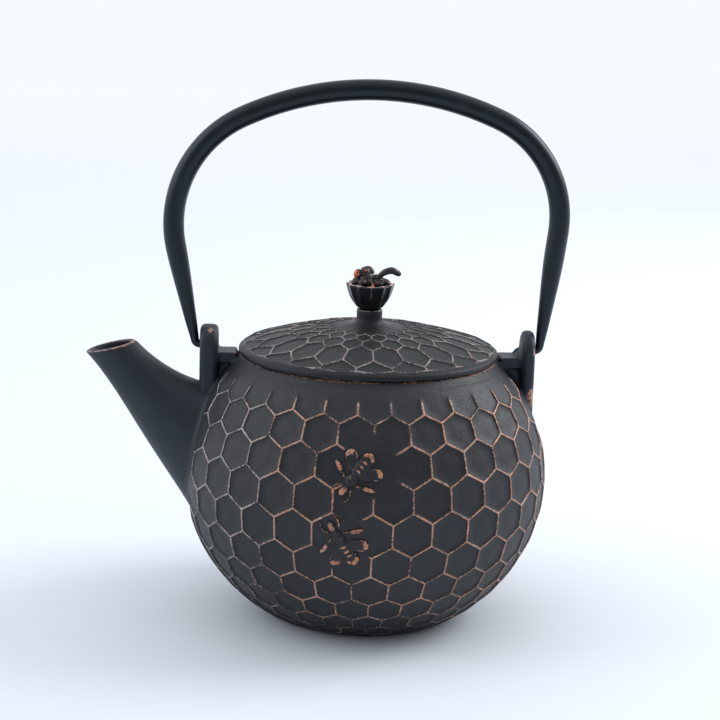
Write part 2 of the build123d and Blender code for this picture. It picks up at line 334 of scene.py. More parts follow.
def makeCastGrain():                         # the sandy skin of a lacquered casting: a height and a tone mask
    tree, start, end = shaderGroup(
        "castGrain",
        [("position", "NodeSocketVector", None), ("grainScale", "NodeSocketFloat", 900.0),
         ("pitShare", "NodeSocketFloat", 0.35), ("blotchScale", "NodeSocketFloat", 45.0)],
        [("height", "NodeSocketFloat"), ("tone", "NodeSocketFloat")])
    position = start.outputs["position"]
    fine = noiseNode(tree, position, start.outputs["grainScale"], 2.0, 0.6)
    coarse = noiseNode(tree, position, mathNode(tree, "MULTIPLY", start.outputs["grainScale"], 0.28), 2.0)
    pits = addNode(tree, "ShaderNodeTexVoronoi")
    tree.links.new(position, pits.inputs["Vector"])
    tree.links.new(mathNode(tree, "MULTIPLY", start.outputs["grainScale"], 0.45), pits.inputs["Scale"])
    pitHeight = rangeNode(tree, pits.outputs["Distance"], 0.0, 0.35)
    body = mathNode(tree, "ADD", mathNode(tree, "MULTIPLY", fine, 0.55), mathNode(tree, "MULTIPLY", coarse, 0.6))
    dip = mathNode(tree, "MULTIPLY", mathNode(tree, "SUBTRACT", 1.0, pitHeight), start.outputs["pitShare"])
    tree.links.new(mathNode(tree, "SUBTRACT", body, dip), end.inputs["height"])
    blotch = noiseNode(tree, position, start.outputs["blotchScale"], 4.0, 0.6)
    speck = rangeNode(tree, fine, 0.42, 0.7)
    tone = mathNode(tree, "ADD", mathNode(tree, "MULTIPLY", blotch, 0.7), mathNode(tree, "MULTIPLY", speck, 0.3))
    tree.links.new(tone, end.inputs["tone"])
    return tree


def makeRubbedCrest():                       # where the lacquer is rubbed off what stands up
    tree, start, end = shaderGroup(
        "rubbedCrest",
        [("position", "NodeSocketVector", None), ("crest", "NodeSocketFloat", 0.0),
         ("amount", "NodeSocketFloat", 0.5), ("patchScale", "NodeSocketFloat", 60.0),
         ("breakScale", "NodeSocketFloat", 900.0)],
        [("rub", "NodeSocketFloat")])
    position = start.outputs["position"]
    patch = noiseNode(tree, position, start.outputs["patchScale"], 3.0, 0.6)
    fine = noiseNode(tree, position, start.outputs["breakScale"], 2.0, 0.7)
    reach = mathNode(tree, "ADD", start.outputs["crest"],
                     mathNode(tree, "MULTIPLY", mathNode(tree, "SUBTRACT", patch, 0.5), 0.9))
    reach = mathNode(tree, "ADD", reach, mathNode(tree, "MULTIPLY", mathNode(tree, "SUBTRACT", fine, 0.5), 1.25))
    low = mathNode(tree, "SUBTRACT", 1.05, start.outputs["amount"])
    high = mathNode(tree, "ADD", low, 0.32)
    mask = rangeNode(tree, reach, low, high)
    gate = rangeNode(tree, start.outputs["crest"], 0.12, 0.4)
    tree.links.new(mathNode(tree, "MULTIPLY", mask, gate), end.inputs["rub"])
    return tree


def makeFineWear():                          # faint scuffs and lint on smooth painted metal
    tree, start, end = shaderGroup(
        "fineWear",
        [("position", "NodeSocketVector", None), ("scuffScale", "NodeSocketFloat", 60.0),
         ("streak", "NodeSocketVector", (1.0, 1.0, 6.0))],
        [("scuff", "NodeSocketFloat"), ("peel", "NodeSocketFloat")])
    stretch = addNode(tree, "ShaderNodeVectorMath", operation="MULTIPLY")
    tree.links.new(start.outputs["position"], stretch.inputs[0])
    tree.links.new(start.outputs["streak"], stretch.inputs[1])
    scuff = noiseNode(tree, stretch.outputs[0], start.outputs["scuffScale"], 6.0, 0.65)
    tree.links.new(rangeNode(tree, scuff, 0.5, 0.78), end.inputs["scuff"])
    peel = noiseNode(tree, start.outputs["position"], 700.0, 2.0)
    tree.links.new(peel, end.inputs["peel"])
    return tree


castGrain = makeCastGrain()
rubbedCrest = makeRubbedCrest()
fineWear = makeFineWear()


def startMaterial(name, **principled):
    material = bpy.data.materials.new(name)
    material.use_nodes = True
    tree = material.node_tree
    shader = tree.nodes["Principled BSDF"]
    for key, value in principled.items():
        shader.inputs[key.replace("_", " ")].default_value = value
    position = addNode(tree, "ShaderNodeTexCoord").outputs["Object"]
    return material, tree, shader, position


def addBump(tree, shader, height, strength, distance):
    bump = addNode(tree, "ShaderNodeBump")
    bump.inputs["Strength"].default_value = strength
    bump.inputs["Distance"].default_value = distance * mm
    tree.links.new(height, bump.inputs["Height"])
    tree.links.new(bump.outputs["Normal"], shader.inputs["Normal"])


def crestOf(tree):
    return addNode(tree, "ShaderNodeAttribute", attribute_name="crest").outputs["Fac"]


def castMaterial(name, look):                # lacquered cast iron, rubbed to metal where the crest attribute is high
    material, tree, shader, position = startMaterial(name, Specular_IOR_Level=look["specular"])
    # the specular tint is a painted reflection colour: it turns the lacquer's reflections bluish, standing in for the
    # pale blue room
    shader.inputs["Specular Tint"].default_value = (*look["paintedReflectionTint"], 1.0)
    grain = placeGroup(tree, castGrain, position, grainScale=look["grainScale"], pitShare=look["pitShare"],
                       blotchScale=look["blotchScale"])
    axes = addNode(tree, "ShaderNodeSeparateXYZ")
    tree.links.new(position, axes.inputs[0])
    across = rangeNode(tree, axes.outputs["X"], look["coolX"] * mm, look["warmX"] * mm)
    upward = rangeNode(tree, axes.outputs["Z"], look["lowZ"] * mm, look["highZ"] * mm)
    wander = noiseNode(tree, position, 85.0, 3.0)
    warm = mathNode(tree, "MULTIPLY", across, upward)
    warm = mathNode(tree, "ADD", warm, mathNode(tree, "MULTIPLY", mathNode(tree, "SUBTRACT", wander, 0.54), 1.5), True)
    amount = rangeNode(tree, warm, 0.0, 1.0, look["rubCool"], look["rubWarm"])
    rubbed = placeGroup(tree, rubbedCrest, position, crest=crestOf(tree), amount=amount,
                        patchScale=look["patchScale"], breakScale=look["breakScale"])
    lacquer = mixColour(tree, grain.outputs["tone"], look["dark"], look["light"])
    fleck = rangeNode(tree, noiseNode(tree, position, 1700.0, 2.0, 0.7), 0.5, 0.66)
    metal = mixColour(tree, warm, look["coolMetal"], look["warmMetal"])
    metal = mixColour(tree, mathNode(tree, "MULTIPLY", fleck, look["fleckShare"]), metal, look["fleck"])
    tarnish = rangeNode(tree, noiseNode(tree, position, 420.0, 3.0, 0.65), 0.44, 0.64, 0.0, look["tarnishShare"])
    metal = mixColour(tree, tarnish, metal, look["tarnish"])
    tree.links.new(mixColour(tree, rubbed.outputs["rub"], lacquer, metal), shader.inputs["Base Color"])
    tree.links.new(mathNode(tree, "MULTIPLY", rubbed.outputs["rub"], look["metallic"]), shader.inputs["Metallic"])
    rough = rangeNode(tree, grain.outputs["tone"], 0.25, 0.8, look["roughLow"], look["roughHigh"])
    rough = mathNode(tree, "SUBTRACT", rough, mathNode(tree, "MULTIPLY", rubbed.outputs["rub"], 0.12))
    tree.links.new(rough, shader.inputs["Roughness"])
    addBump(tree, shader, grain.outputs["height"], look["bump"], look["bumpDepth"])
    return material


potLook = {
    "dark": (0.0072, 0.0075, 0.0092), "light": (0.0185, 0.0190, 0.0220),    # the lacquer
    # the specular tint below is a painted reflection colour, bluish for the room's light
    "specular": 0.42, "paintedReflectionTint": (0.96, 0.97, 1.0), "roughLow": 0.46, "roughHigh": 0.62,
    "warmMetal": (0.47, 0.215, 0.125), "coolMetal": (0.27, 0.26, 0.28), "metallic": 0.3,
    "fleck": (0.80, 0.62, 0.53), "fleckShare": 0.6, "tarnish": (0.10, 0.058, 0.047), "tarnishShare": 0.35,
    "rubWarm": 0.52, "rubCool": 0.46,          # how much is rubbed where the metal shows warm, and where cool
    "coolX": -62.0, "warmX": -22.0, "lowZ": -8.0, "highZ": 28.0,    # it turns from cool to warm between these
    "grainScale": 1100.0, "pitShare": 0.3, "blotchScale": 40.0, "patchScale": 75.0, "breakScale": 1100.0,
    "bump": 0.7, "bumpDepth": 0.22,
}
lidLook = dict(potLook, specular=0.28, paintedReflectionTint=(0.88, 0.93, 1.0), warmMetal=(0.33, 0.258, 0.245),
               coolMetal=(0.27, 0.26, 0.285), rubWarm=0.5, lowZ=60.0, highZ=110.0,
               dark=(0.0075, 0.0076, 0.009), light=(0.018, 0.018, 0.021))
beeLook = dict(potLook, rubWarm=0.62, rubCool=0.55, lowZ=-40.0, highZ=-10.0, coolX=-120.0, warmX=-60.0,
               warmMetal=(0.52, 0.20, 0.10), fleckShare=0.45, tarnishShare=0.85)
# the spout's and ears' lacquer is bluer than the pot's as a painted reflection of the pale blue room on the smoother
# iron
spoutLook = dict(potLook, paintedReflectionTint=(0.8, 0.9, 1.0), dark=(0.0085, 0.0112, 0.0145), light=(0.0200, 0.0255, 0.0315),
                 coolX=-140.0, warmX=-100.0, warmMetal=(0.42, 0.20, 0.13))
castIron = castMaterial("castIronRubbed", potLook)
lidIron = castMaterial("lidIronRubbed", lidLook)
beeIron = castMaterial("reliefBeeIron", beeLook)
spoutIron = castMaterial("spoutIronSmooth", spoutLook)


enamel = {"dark": (0.007, 0.007, 0.008), "light": (0.02, 0.02, 0.022), "roughLow": 0.12, "roughHigh": 0.24}


def makeEnamel():
    material, tree, shader, position = startMaterial("blackEnamelLining", Specular_IOR_Level=0.5)
    cloud = noiseNode(tree, position, 35.0, 4.0)
    tree.links.new(mixColour(tree, cloud, enamel["dark"], enamel["light"]), shader.inputs["Base Color"])
    tree.links.new(rangeNode(tree, cloud, 0.3, 0.7, enamel["roughLow"], enamel["roughHigh"]),
                   shader.inputs["Roughness"])
    addBump(tree, shader, noiseNode(tree, position, 220.0, 2.0), 0.25, 0.2)
    return material


def smoothBlack(name, look):                 # painted or lacquered smooth metal, rubbed only where the look has a rub
    material, tree, shader, position = startMaterial(name, Specular_IOR_Level=look["specular"])
    # the specular tint is a painted reflection colour: bluish reflections standing in for the pale blue room
    shader.inputs["Specular Tint"].default_value = (*look["paintedReflectionTint"], 1.0)
    wear = placeGroup(tree, fineWear, position, scuffScale=look["scuffScale"], streak=look["streak"])
    colour = mixColour(tree, mathNode(tree, "MULTIPLY", wear.outputs["scuff"], look["scuffShare"]),
                       look["paint"], look["scuffed"])
    if "rub" in look:
        rubbed = placeGroup(tree, rubbedCrest, position, crest=crestOf(tree), amount=look["rub"],
                            patchScale=look["patchScale"], breakScale=1500.0)
        colour = mixColour(tree, rubbed.outputs["rub"], colour, look["metal"])
        tree.links.new(mathNode(tree, "MULTIPLY", rubbed.outputs["rub"], 0.7), shader.inputs["Metallic"])
    tree.links.new(colour, shader.inputs["Base Color"])
    rough = mathNode(tree, "ADD", mathNode(tree, "MULTIPLY", wear.outputs["scuff"], look["roughSpread"]),
                     look["rough"])
    tree.links.new(rough, shader.inputs["Roughness"])
    addBump(tree, shader, wear.outputs["peel"], look["bump"], 0.08)
    return material


# the blue in the handle's paint and scuff colours is a painted reflection of the pale blue room
handlePaint = smoothBlack("satinHandlePaint", {
    "paint": (0.0045, 0.0058, 0.0075), "scuffed": (0.014, 0.017, 0.021), "specular": 0.38, "paintedReflectionTint": (0.72, 0.88, 1.0),
    "scuffScale": 45.0, "streak": (1.0, 1.0, 1.0), "scuffShare": 0.5, "rough": 0.32, "roughSpread": 0.14,
    "bump": 0.2})
knobLacquer = smoothBlack("knobLacquer", {
    "paint": (0.008, 0.009, 0.011), "scuffed": (0.03, 0.03, 0.033), "metal": (0.62, 0.42, 0.36),
    "specular": 0.5, "paintedReflectionTint": (0.9, 0.95, 1.0),
    "scuffScale": 160.0, "streak": (1.0, 1.0, 0.6), "scuffShare": 0.6, "rough": 0.2, "roughSpread": 0.16,
    "rub": 0.62, "patchScale": 260.0, "bump": 0.35})
knobBeeLacquer = smoothBlack("knobBeeLacquer", {
    "paint": (0.016, 0.014, 0.016), "scuffed": (0.06, 0.05, 0.05), "metal": (0.5, 0.13, 0.055),
    "specular": 0.5, "paintedReflectionTint": (1.0, 0.98, 0.97),
    "scuffScale": 260.0, "streak": (1.0, 1.0, 1.0), "scuffShare": 0.7, "rough": 0.26, "roughSpread": 0.16,
    "rub": 0.7, "patchScale": 300.0, "bump": 0.5})
blackEnamel = makeEnamel()


def steelMaterial(name, look):
    material, tree, shader, position = startMaterial(name, Metallic=1.0)
    wear = placeGroup(tree, fineWear, position, scuffScale=look["scuffScale"], streak=look["streak"])
    tree.links.new(mixColour(tree, wear.outputs["scuff"], look["bright"], look["dull"]), shader.inputs["Base Color"])
    tree.links.new(rangeNode(tree, wear.outputs["scuff"], 0.0, 1.0, look["rough"], look["rough"] + 0.18),
                   shader.inputs["Roughness"])
    addBump(tree, shader, wear.outputs["peel"], look["bump"], 0.05)
    return material


rimSteel = steelMaterial("pressedStrainerSteel", {
    "bright": (0.66, 0.66, 0.65), "dull": (0.5, 0.5, 0.5), "scuffScale": 90.0, "streak": (1.0, 1.0, 9.0),
    "rough": 0.22, "bump": 0.2})
meshSteel = steelMaterial("piercedStrainerSteel", {
    "bright": (0.6, 0.6, 0.59), "dull": (0.42, 0.42, 0.42), "scuffScale": 200.0, "streak": (1.0, 1.0, 1.0),
    "rough": 0.3, "bump": 0.3})
screwSteel = steelMaterial("zincScrewSteel", {
    "bright": (0.56, 0.57, 0.58), "dull": (0.4, 0.4, 0.42), "scuffScale": 220.0, "streak": (1.0, 1.0, 3.0),
    "rough": 0.28, "bump": 0.3})
print("materials ready")


def gridTile(name, loops, fanCentre):        # rings from the tile's edge inwards, then a fan if there is a centre
    points = [p for loop in loops for p in loop]
    faces = joinRings(loops)
    if fanCentre:
        start, middle = (len(loops) - 1) * len(loops[0]), len(points)
        points.append((0.0, 0.0, 0.0))
        count = len(loops[0])
        faces += [(start + i, start + (i + 1) % count, middle) for i in range(count)]
    data = bpy.data.meshes.new(name)
    data.from_pydata([tuple(map(float, p)) for p in points], [], faces)
    return bpy.data.objects.new(name, data)


def latticeTree():                           # one tile set out in rows and welded into one flat sheet
    tree = bpy.data.node_groups.new("patternLattice", "GeometryNodeTree")
    for label, kind, value in (
            ("Geometry", "NodeSocketGeometry", None), ("Tile", "NodeSocketObject", None),
            ("Columns", "NodeSocketInt", 12), ("Rows", "NodeSocketInt", 4), ("Column step", "NodeSocketFloat", 0.1),
            ("Row step", "NodeSocketFloat", 0.1), ("Row shift", "NodeSocketFloat", 0.5),
            ("Weld", "NodeSocketFloat", 0.0005), ("Finish", "NodeSocketMaterial", None)):
        socket = tree.interface.new_socket(label, in_out="INPUT", socket_type=kind)
        if value is not None:
            socket.default_value = value
    tree.interface.new_socket("Geometry", in_out="OUTPUT", socket_type="NodeSocketGeometry")
    start, end = tree.nodes.new("NodeGroupInput"), tree.nodes.new("NodeGroupOutput")
    sockets = start.outputs
    index = addNode(tree, "GeometryNodeInputIndex").outputs[0]
    row = mathNode(tree, "FLOOR", mathNode(tree, "DIVIDE", index, sockets["Columns"]))
    column = mathNode(tree, "SUBTRACT", index, mathNode(tree, "MULTIPLY", row, sockets["Columns"]))
    shift = mathNode(tree, "MULTIPLY", mathNode(tree, "MODULO", row, 2.0), sockets["Row shift"])
    across = mathNode(tree, "MULTIPLY", mathNode(tree, "ADD", column, shift), sockets["Column step"])
    down = mathNode(tree, "MULTIPLY", mathNode(tree, "MULTIPLY", row, sockets["Row step"]), -1.0)
    place = addNode(tree, "ShaderNodeCombineXYZ")
    tree.links.new(across, place.inputs[0])
    tree.links.new(down, place.inputs[1])
    spots = addNode(tree, "GeometryNodePoints")
    tree.links.new(mathNode(tree, "MULTIPLY", sockets["Columns"], sockets["Rows"]), spots.inputs["Count"])
    tree.links.new(place.outputs[0], spots.inputs["Position"])
    tile = addNode(tree, "GeometryNodeObjectInfo")
    tree.links.new(sockets["Tile"], tile.inputs["Object"])
    copies = addNode(tree, "GeometryNodeInstanceOnPoints")
    tree.links.new(spots.outputs[0], copies.inputs["Points"])
    tree.links.new(tile.outputs["Geometry"], copies.inputs["Instance"])
    real = addNode(tree, "GeometryNodeRealizeInstances")
    tree.links.new(copies.outputs[0], real.inputs[0])
    weld = addNode(tree, "GeometryNodeMergeByDistance")
    tree.links.new(real.outputs[0], weld.inputs["Geometry"])
    tree.links.new(sockets["Weld"], weld.inputs["Distance"])
    finish = addNode(tree, "GeometryNodeSetMaterial")
    tree.links.new(weld.outputs[0], finish.inputs["Geometry"])
    tree.links.new(sockets["Finish"], finish.inputs["Material"])
    tree.links.new(finish.outputs[0], end.inputs[0])
    return tree


lattice = latticeTree()


def layLattice(name, tile, finish, **values):    # returns a plain flat mesh, in the tile's own units
    piece = bpy.data.objects.new(name, bpy.data.meshes.new(name))
    scene.collection.objects.link(piece)
    maker = piece.modifiers.new("lattice", "NODES")
    maker.node_group = lattice
    ids = {item.name: item.identifier for item in lattice.interface.items_tree if item.in_out == "INPUT"}
    maker[ids["Tile"]] = tile
    maker[ids["Finish"]] = finish
    for label, value in values.items():
        maker[ids[label.replace("_", " ")]] = value
    applyModifiers(piece)
    return piece


def hexLoops(halfWide, sideHalf, tipHalf, shares, perSide=3):
    corners = [(0, tipHalf), (-halfWide, sideHalf), (-halfWide, -sideHalf), (0, -tipHalf), (halfWide, -sideHalf),
               (halfWide, sideHalf)]
    edge = []
    for i in range(6):
        a, b = np.array(corners[i]), np.array(corners[(i + 1) % 6])
        edge += [a + (b - a) * k / perSide for k in range(perSide)]
    return [[(p[0] * share, p[1] * share, 0.0) for p in edge] for share in shares]


def hexShares(flat, cell):                   # each point's cell centre and its share of the way out to the cell's edge
    wide, side, tip, step = cell["halfWide"], cell["sideHalf"], cell["tipHalf"], cell["rowStep"]
    best = np.full(len(flat), 9.0)
    centres = np.zeros((len(flat), 2))
    guess = -flat[:, 1] / step
    for row in (np.floor(guess), np.ceil(guess)):
        shift = (np.mod(row, 2) * 0.5) * 2 * wide
        cx = np.round((flat[:, 0] - shift) / (2 * wide)) * 2 * wide + shift
        cy = -row * step
        dx, dy = np.abs(flat[:, 0] - cx), np.abs(flat[:, 1] - cy)
        share = np.maximum(dx / wide, (dy * wide + dx * (tip - side)) / (tip * wide))
        closer = share < best
        best = np.where(closer, share, best)
        centres[closer] = np.stack([cx, cy], axis=1)[closer]
    return best, centres


def edgeLoops(piece):                        # the open rims of a sheet, each as vertex numbers in order of angle
    work = bmesh.new()
    work.from_mesh(piece.data)
    work.verts.ensure_lookup_table()
    links = {}
    for e in work.edges:
        if len(e.link_faces) != 1:
            continue
        a, b = e.verts[0].index, e.verts[1].index
        links.setdefault(a, []).append(b)
        links.setdefault(b, []).append(a)
    loops, seen = [], set()
    for first in sorted(links):
        if first in seen:
            continue
        loop, here, before = [], first, None
        while here not in seen:
            seen.add(here)
            loop.append(here)
            steps = [n for n in links[here] if n != before and n not in seen]
            before = here
            if not steps:
                break
            here = steps[0]
        loops.append(loop)
    work.free()
    return loops


# a honeycomb laid flat: returns the sheet, its points' u and v, and how high each stands. radiusOf gives the real
# radius at a height v, which turns widths in mm into shares of a cell
def layComb(name, tileName, sizes, cell, finish, radiusOf, slimOf=lambda radius: 1.0):
    tile = gridTile(tileName, hexLoops(cell["halfWide"], cell["sideHalf"], cell["tipHalf"], comb["shares"]), True)
    sheet = layLattice(name, tile, finish, Columns=sizes["columns"], Rows=sizes["rows"],
                       Column_step=2 * cell["halfWide"], Row_step=cell["rowStep"], Row_shift=0.5, Weld=comb["weld"])
    bpy.data.objects.remove(tile)
    flat = pointsOf(sheet)[:, :2] * mm
    share, centres = hexShares(flat, cell)
    ring = np.abs(share[:, None] - np.array((*comb["shares"], 0.0))[None]).argmin(axis=1)
    radius = radiusOf(flat[:, 1] + sizes["firstRowV"])
    insets = np.array((*sizes["ridgeInsets"], 0, 0))[ring] * slimOf(radius) / (radius * cell["halfWide"])
    newShare = np.where(ring < len(sizes["ridgeInsets"]), 1 - insets, share)    # gives each ridge its width in mm
    flat = centres + (flat - centres) * (newShare / np.maximum(share, 1e-6))[:, None]
    return sheet, flat[:, 0], flat[:, 1] + sizes["firstRowV"], np.array((*comb["heights"], 0.0))[ring]


def openSheet(sheet):                        # a sheet's rims, points, faces and crest, to build on
    loops = edgeLoops(sheet)
    points = [tuple(p) for p in pointsOf(sheet)]
    faces = [tuple(f.vertices) for f in sheet.data.polygons]
    values = np.empty(len(points), np.float32)
    sheet.data.attributes["crest"].data.foreach_get("value", values)
    bpy.data.objects.remove(sheet)
    return loops, points, faces, list(values)


def rimAngles(points, loop):
    return [math.atan2(points[i][0], -points[i][1]) for i in loop]


def addRings(points, faces, values, before, angles, profile):    # rings of (r, z, crest), each joined to the one before
    count = len(before)
    for r, z, c in profile:
        start = len(points)
        points += [(r * math.sin(a), -r * math.cos(a), z) for a in angles]
        values += [c] * count
        now = list(range(start, start + count))
        faces += [(before[i], before[(i + 1) % count], now[(i + 1) % count], now[i]) for i in range(count)]
        before = now
    return before


comb = {                                     # a cell's rings from its edge inwards, and how high each stands
    "shares": (1.0, 0.95, 0.9, 0.85, 0.45), "heights": (1.0, 0.8, 0.2, 0.0, 0.0), "weld": 0.0008, "thinGap": 0.02,
}

pot = {
    "radius": 78.0, "middleZ": 61.75, "lowHalf": 71.25, "highHalf": 74.0, "wall": 3.4, "floorZ": 4.0, "throatZ": 109.2,
    "columns": 30, "rows": 11, "firstRowV": 0.6582, "rowStep": 0.1814,
    "ridge": 0.72, "ridgeInsets": (0.0, 0.3, 0.6, 0.85), "ridgeWaver": 0.2, "waver": 0.05, "waverSize": 9.0,
    "fadeTopV": (0.684, 0.712), "fadeFootV": (-1.2, -1.12), "footShare": 0.25,    # the ridges fade at both ends
    "topV": 0.70, "topSqueeze": 0.5, "footV": -1.15, "footSqueeze": 0.45,    # rows past these are drawn in
    "beeEdge": 0.8, "spoutClear": (1.2, 5.0), "earClear": (1.5, 5.0),
    "shoulder": (110.2, 110.6), "stepRing": (58.2, 111.0), "neck": (111.8, 112.6), "neckIn": 0.15,
    "lip": [(55.5, 113.6, 0.3), (55.15, 114.1, 0.72), (54.6, 114.3, 0.62), (50.6, 114.3, 0.3), (50.15, 114.1, 0.4)],
    "seat": [(50.0, 113.7), (50.0, 112.6), (49.8, 112.2), (46.9, 112.2), (46.55, 112.05), (46.5, 111.6),
             (46.5, 109.5), (46.8, 109.2)],
    "hollowRings": 26, "cornerUp": 3.0,
    "foot": [(39.05, 0.25, 0.4), (38.3, 0.0, 0.2), (33.0, 0.0, 0), (32.4, 0.35, 0), (20.0, 0.35, 0), (4.0, 0.35, 0)],
    "footTopZ": 0.9,
}
ellipseT = np.linspace(-1.5707, 1.5707, 4001)
ellipseR = pot["radius"] * np.cos(ellipseT)
ellipseHalf = np.where(ellipseT > 0, pot["highHalf"], pot["lowHalf"])
ellipseZ = pot["middleZ"] + ellipseHalf * np.sin(ellipseT)
arcStep = np.hypot(pot["radius"] * np.sin(ellipseT), ellipseHalf * np.cos(ellipseT)) / ellipseR
ellipseV = np.concatenate([[0], np.cumsum((arcStep[1:] + arcStep[:-1]) / 2 * np.diff(ellipseT))])
ellipseV -= np.interp(0.0, ellipseT, ellipseV)    # v runs up the belly so that u and v keep angles true


def bellyPoint(u, v, lift=0.0):              # u turns from the front, v climbs, lift stands off the surface
    t = np.interp(v, ellipseV, ellipseT)
    r = pot["radius"] * np.cos(t)
    half = np.where(t > 0, pot["highHalf"], pot["lowHalf"])
    z = pot["middleZ"] + half * np.sin(t)
    outR, outZ = np.cos(t) / pot["radius"], np.sin(t) / half
    size = np.hypot(outR, outZ)
    r, z = r + lift * outR / size, z + lift * outZ / size
    return np.stack([r * np.sin(u), -r * np.cos(u), z], axis=-1)


def bellyV(z):
    return np.interp(z, ellipseZ, ellipseV)


def bellyR(v):
    return np.interp(v, ellipseV, ellipseR)


def bellyRadiusAt(z, wall=0.0):
    half = (pot["highHalf"] if z > pot["middleZ"] else pot["lowHalf"]) - wall
    return (pot["radius"] - wall) * math.sqrt(max(0.0, 1 - ((z - pot["middleZ"]) / half) ** 2))


reliefBees = [                               # the comb stops round each bee, within clear of the clear spot
    {"name": "potReliefBeeUpper", "turn": -5.0, "z": 82.0, "heading": 53.0,
     "clearTurn": -1.8, "clearZ": 84.0, "clear": 12.2},
    {"name": "potReliefBeeLower", "turn": -8.5, "z": 52.6, "heading": -57.0,
     "clearTurn": -8.4, "clearZ": 53.0, "clear": 11.4},
]

spout = {                                    # stations: centre x and z, tilt in degrees, half depth, half width
    "stations": [(-110.65, 115.6, 13.7, 10.95, 8.6), (-102.3, 106.1, 31.8, 10.8, 8.9),
                 (-87.0, 88.6, 62.5, 16.6, 13.5), (-70.0, 72.0, 77.0, 27.5, 20.5)],
    "wall": 2.3, "count": 64, "filletBack": 2.6, "filletOut": 2.6, "sink": 0.3,
    "mouth": [(1.5, 0.3, 0.62), (0.8, 0.3, 0.74), (0.3, 0.1, 0.86), (0.05, -0.3, 0.55)],    # in by, out by and rubbing
    # the hole through the belly's wall: half width, half height and middle, then from where to where it is cut
    "opening": (12.0, 16.0, 78.0), "openingX": (-90.0, -58.0),
}


def spoutSection(t, thinner=0.0, extend=0.0):    # t runs 0 at the mouth to 1 inside the belly
    rows = np.array(spout["stations"])
    steps = np.concatenate([[0], np.cumsum(np.hypot(*np.diff(rows[:, :2], axis=0).T))])
    steps /= steps[-1]
    x, z, tilt, depth, width = (np.polyval(np.polyfit(steps, rows[:, k], 3), t) for k in range(5))
    tilt = math.radians(tilt)
    along = np.array((math.cos(tilt), 0, math.sin(tilt)))
    outward = np.array((-math.sin(tilt), 0, math.cos(tilt)))
    centre = np.array((x, 0, z)) + outward * extend
    angles = aroundCircle(spout["count"])
    return np.array([centre + (depth - thinner) * math.cos(a) * along
                     + np.array((0, (width - thinner) * math.sin(a), 0)) for a in angles])


def bellyLevel(points, grow=0.0):            # below zero inside the belly
    half = np.where(points[..., 2] > pot["middleZ"], pot["highHalf"], pot["lowHalf"]) + grow
    flat = (points[..., 0] ** 2 + points[..., 1] ** 2) / (pot["radius"] + grow) ** 2
    return flat + ((points[..., 2] - pot["middleZ"]) / half) ** 2 - 1


def onBelly(points, lift=0.0):               # nearest place on the belly, straight in from outside
    points = np.asarray(points, float)
    for _ in range(4):
        half = np.where(points[:, 2] > pot["middleZ"], pot["highHalf"], pot["lowHalf"])
        slope = np.stack([points[:, 0] / pot["radius"] ** 2, points[:, 1] / pot["radius"] ** 2,
                          (points[:, 2] - pot["middleZ"]) / half ** 2], axis=1) * 2
        points = points - slope * (bellyLevel(points) / (slope ** 2).sum(1))[:, None]
    slope /= np.linalg.norm(slope, axis=1)[:, None]
    return points + slope * lift


def spoutCrossing(thinner, grow):            # for each direction, how far down the spout meets the belly
    ts = np.linspace(0.15, 1.0, 240)
    stack = np.array([spoutSection(t, thinner) for t in ts])
    level = bellyLevel(stack, grow)
    first = np.argmax(level < 0, axis=0)
    first = np.where(level.min(axis=0) < 0, first, len(ts) - 1)
    return ts[first], stack[first, np.arange(spout["count"])]


spoutMeets, spoutRoot = spoutCrossing(0.0, 0.0)


def rootDistance(points):                    # distance outside the spout's root on the belly, in mm
    middle = spoutRoot.mean(axis=0)
    flatRoot = spoutRoot[:, 1:] - middle[1:]
    rootAngle = np.arctan2(flatRoot[:, 1], flatRoot[:, 0])
    order = np.argsort(rootAngle)
    rootSize = np.linalg.norm(flatRoot, axis=1)[order]
    rootAngle = rootAngle[order]
    flat = points[:, 1:] - middle[1:]
    size = np.linalg.norm(flat, axis=1)
    reach = np.interp(np.arctan2(flat[:, 1], flat[:, 0]), rootAngle, rootSize, period=2 * math.pi)
    return np.where(points[:, 0] < 0, size - reach, 99.0)


ears = {
    "pivotZ": 117.3, "outerX": 72.5, "innerX": 64.6, "halfWide": 8.75, "footZ": 82.0,
    "backInnerX": 66.0, "backOuterX": 71.7, "edge": [(0, 2.2), (0.25, 1.2), (0.8, 0.45), (1.8, 0.0)],
    "swell": ((66.2, 0, 113.5), (4.2, 7.4, 5.0)), "sink": 0.55, "rounds": 7,
    "patch": (math.pi / 2, math.pi / 2, 0.26, 72.0, 113.5),    # the piece of belly wall each ear is blended onto
    "chips": [((71.9, -8.6, 98.0), 6.5, 0.88), ((71.6, -8.4, 118.6), 2.6, 0.8)],    # place, reach and weight
    "arm": (56.6, 69.0, 6.5, 110.5, 115.0), "web": (57.5, 69.0, 4.0, 95.0, 113.0), "holeR": 2.1, "voxel": 0.5,
}


def earDistance(points):                     # distance from either ear's foot on the belly, in mm
    gapX = np.maximum(ears["innerX"] - 4 - np.abs(points[:, 0]), 0)
    gapY = np.maximum(np.abs(points[:, 1]) - ears["halfWide"], 0)
    gapZ = np.maximum(ears["footZ"] + 2 - points[:, 2], 0)
    return np.sqrt(gapX ** 2 + gapY ** 2 + gapZ ** 2)


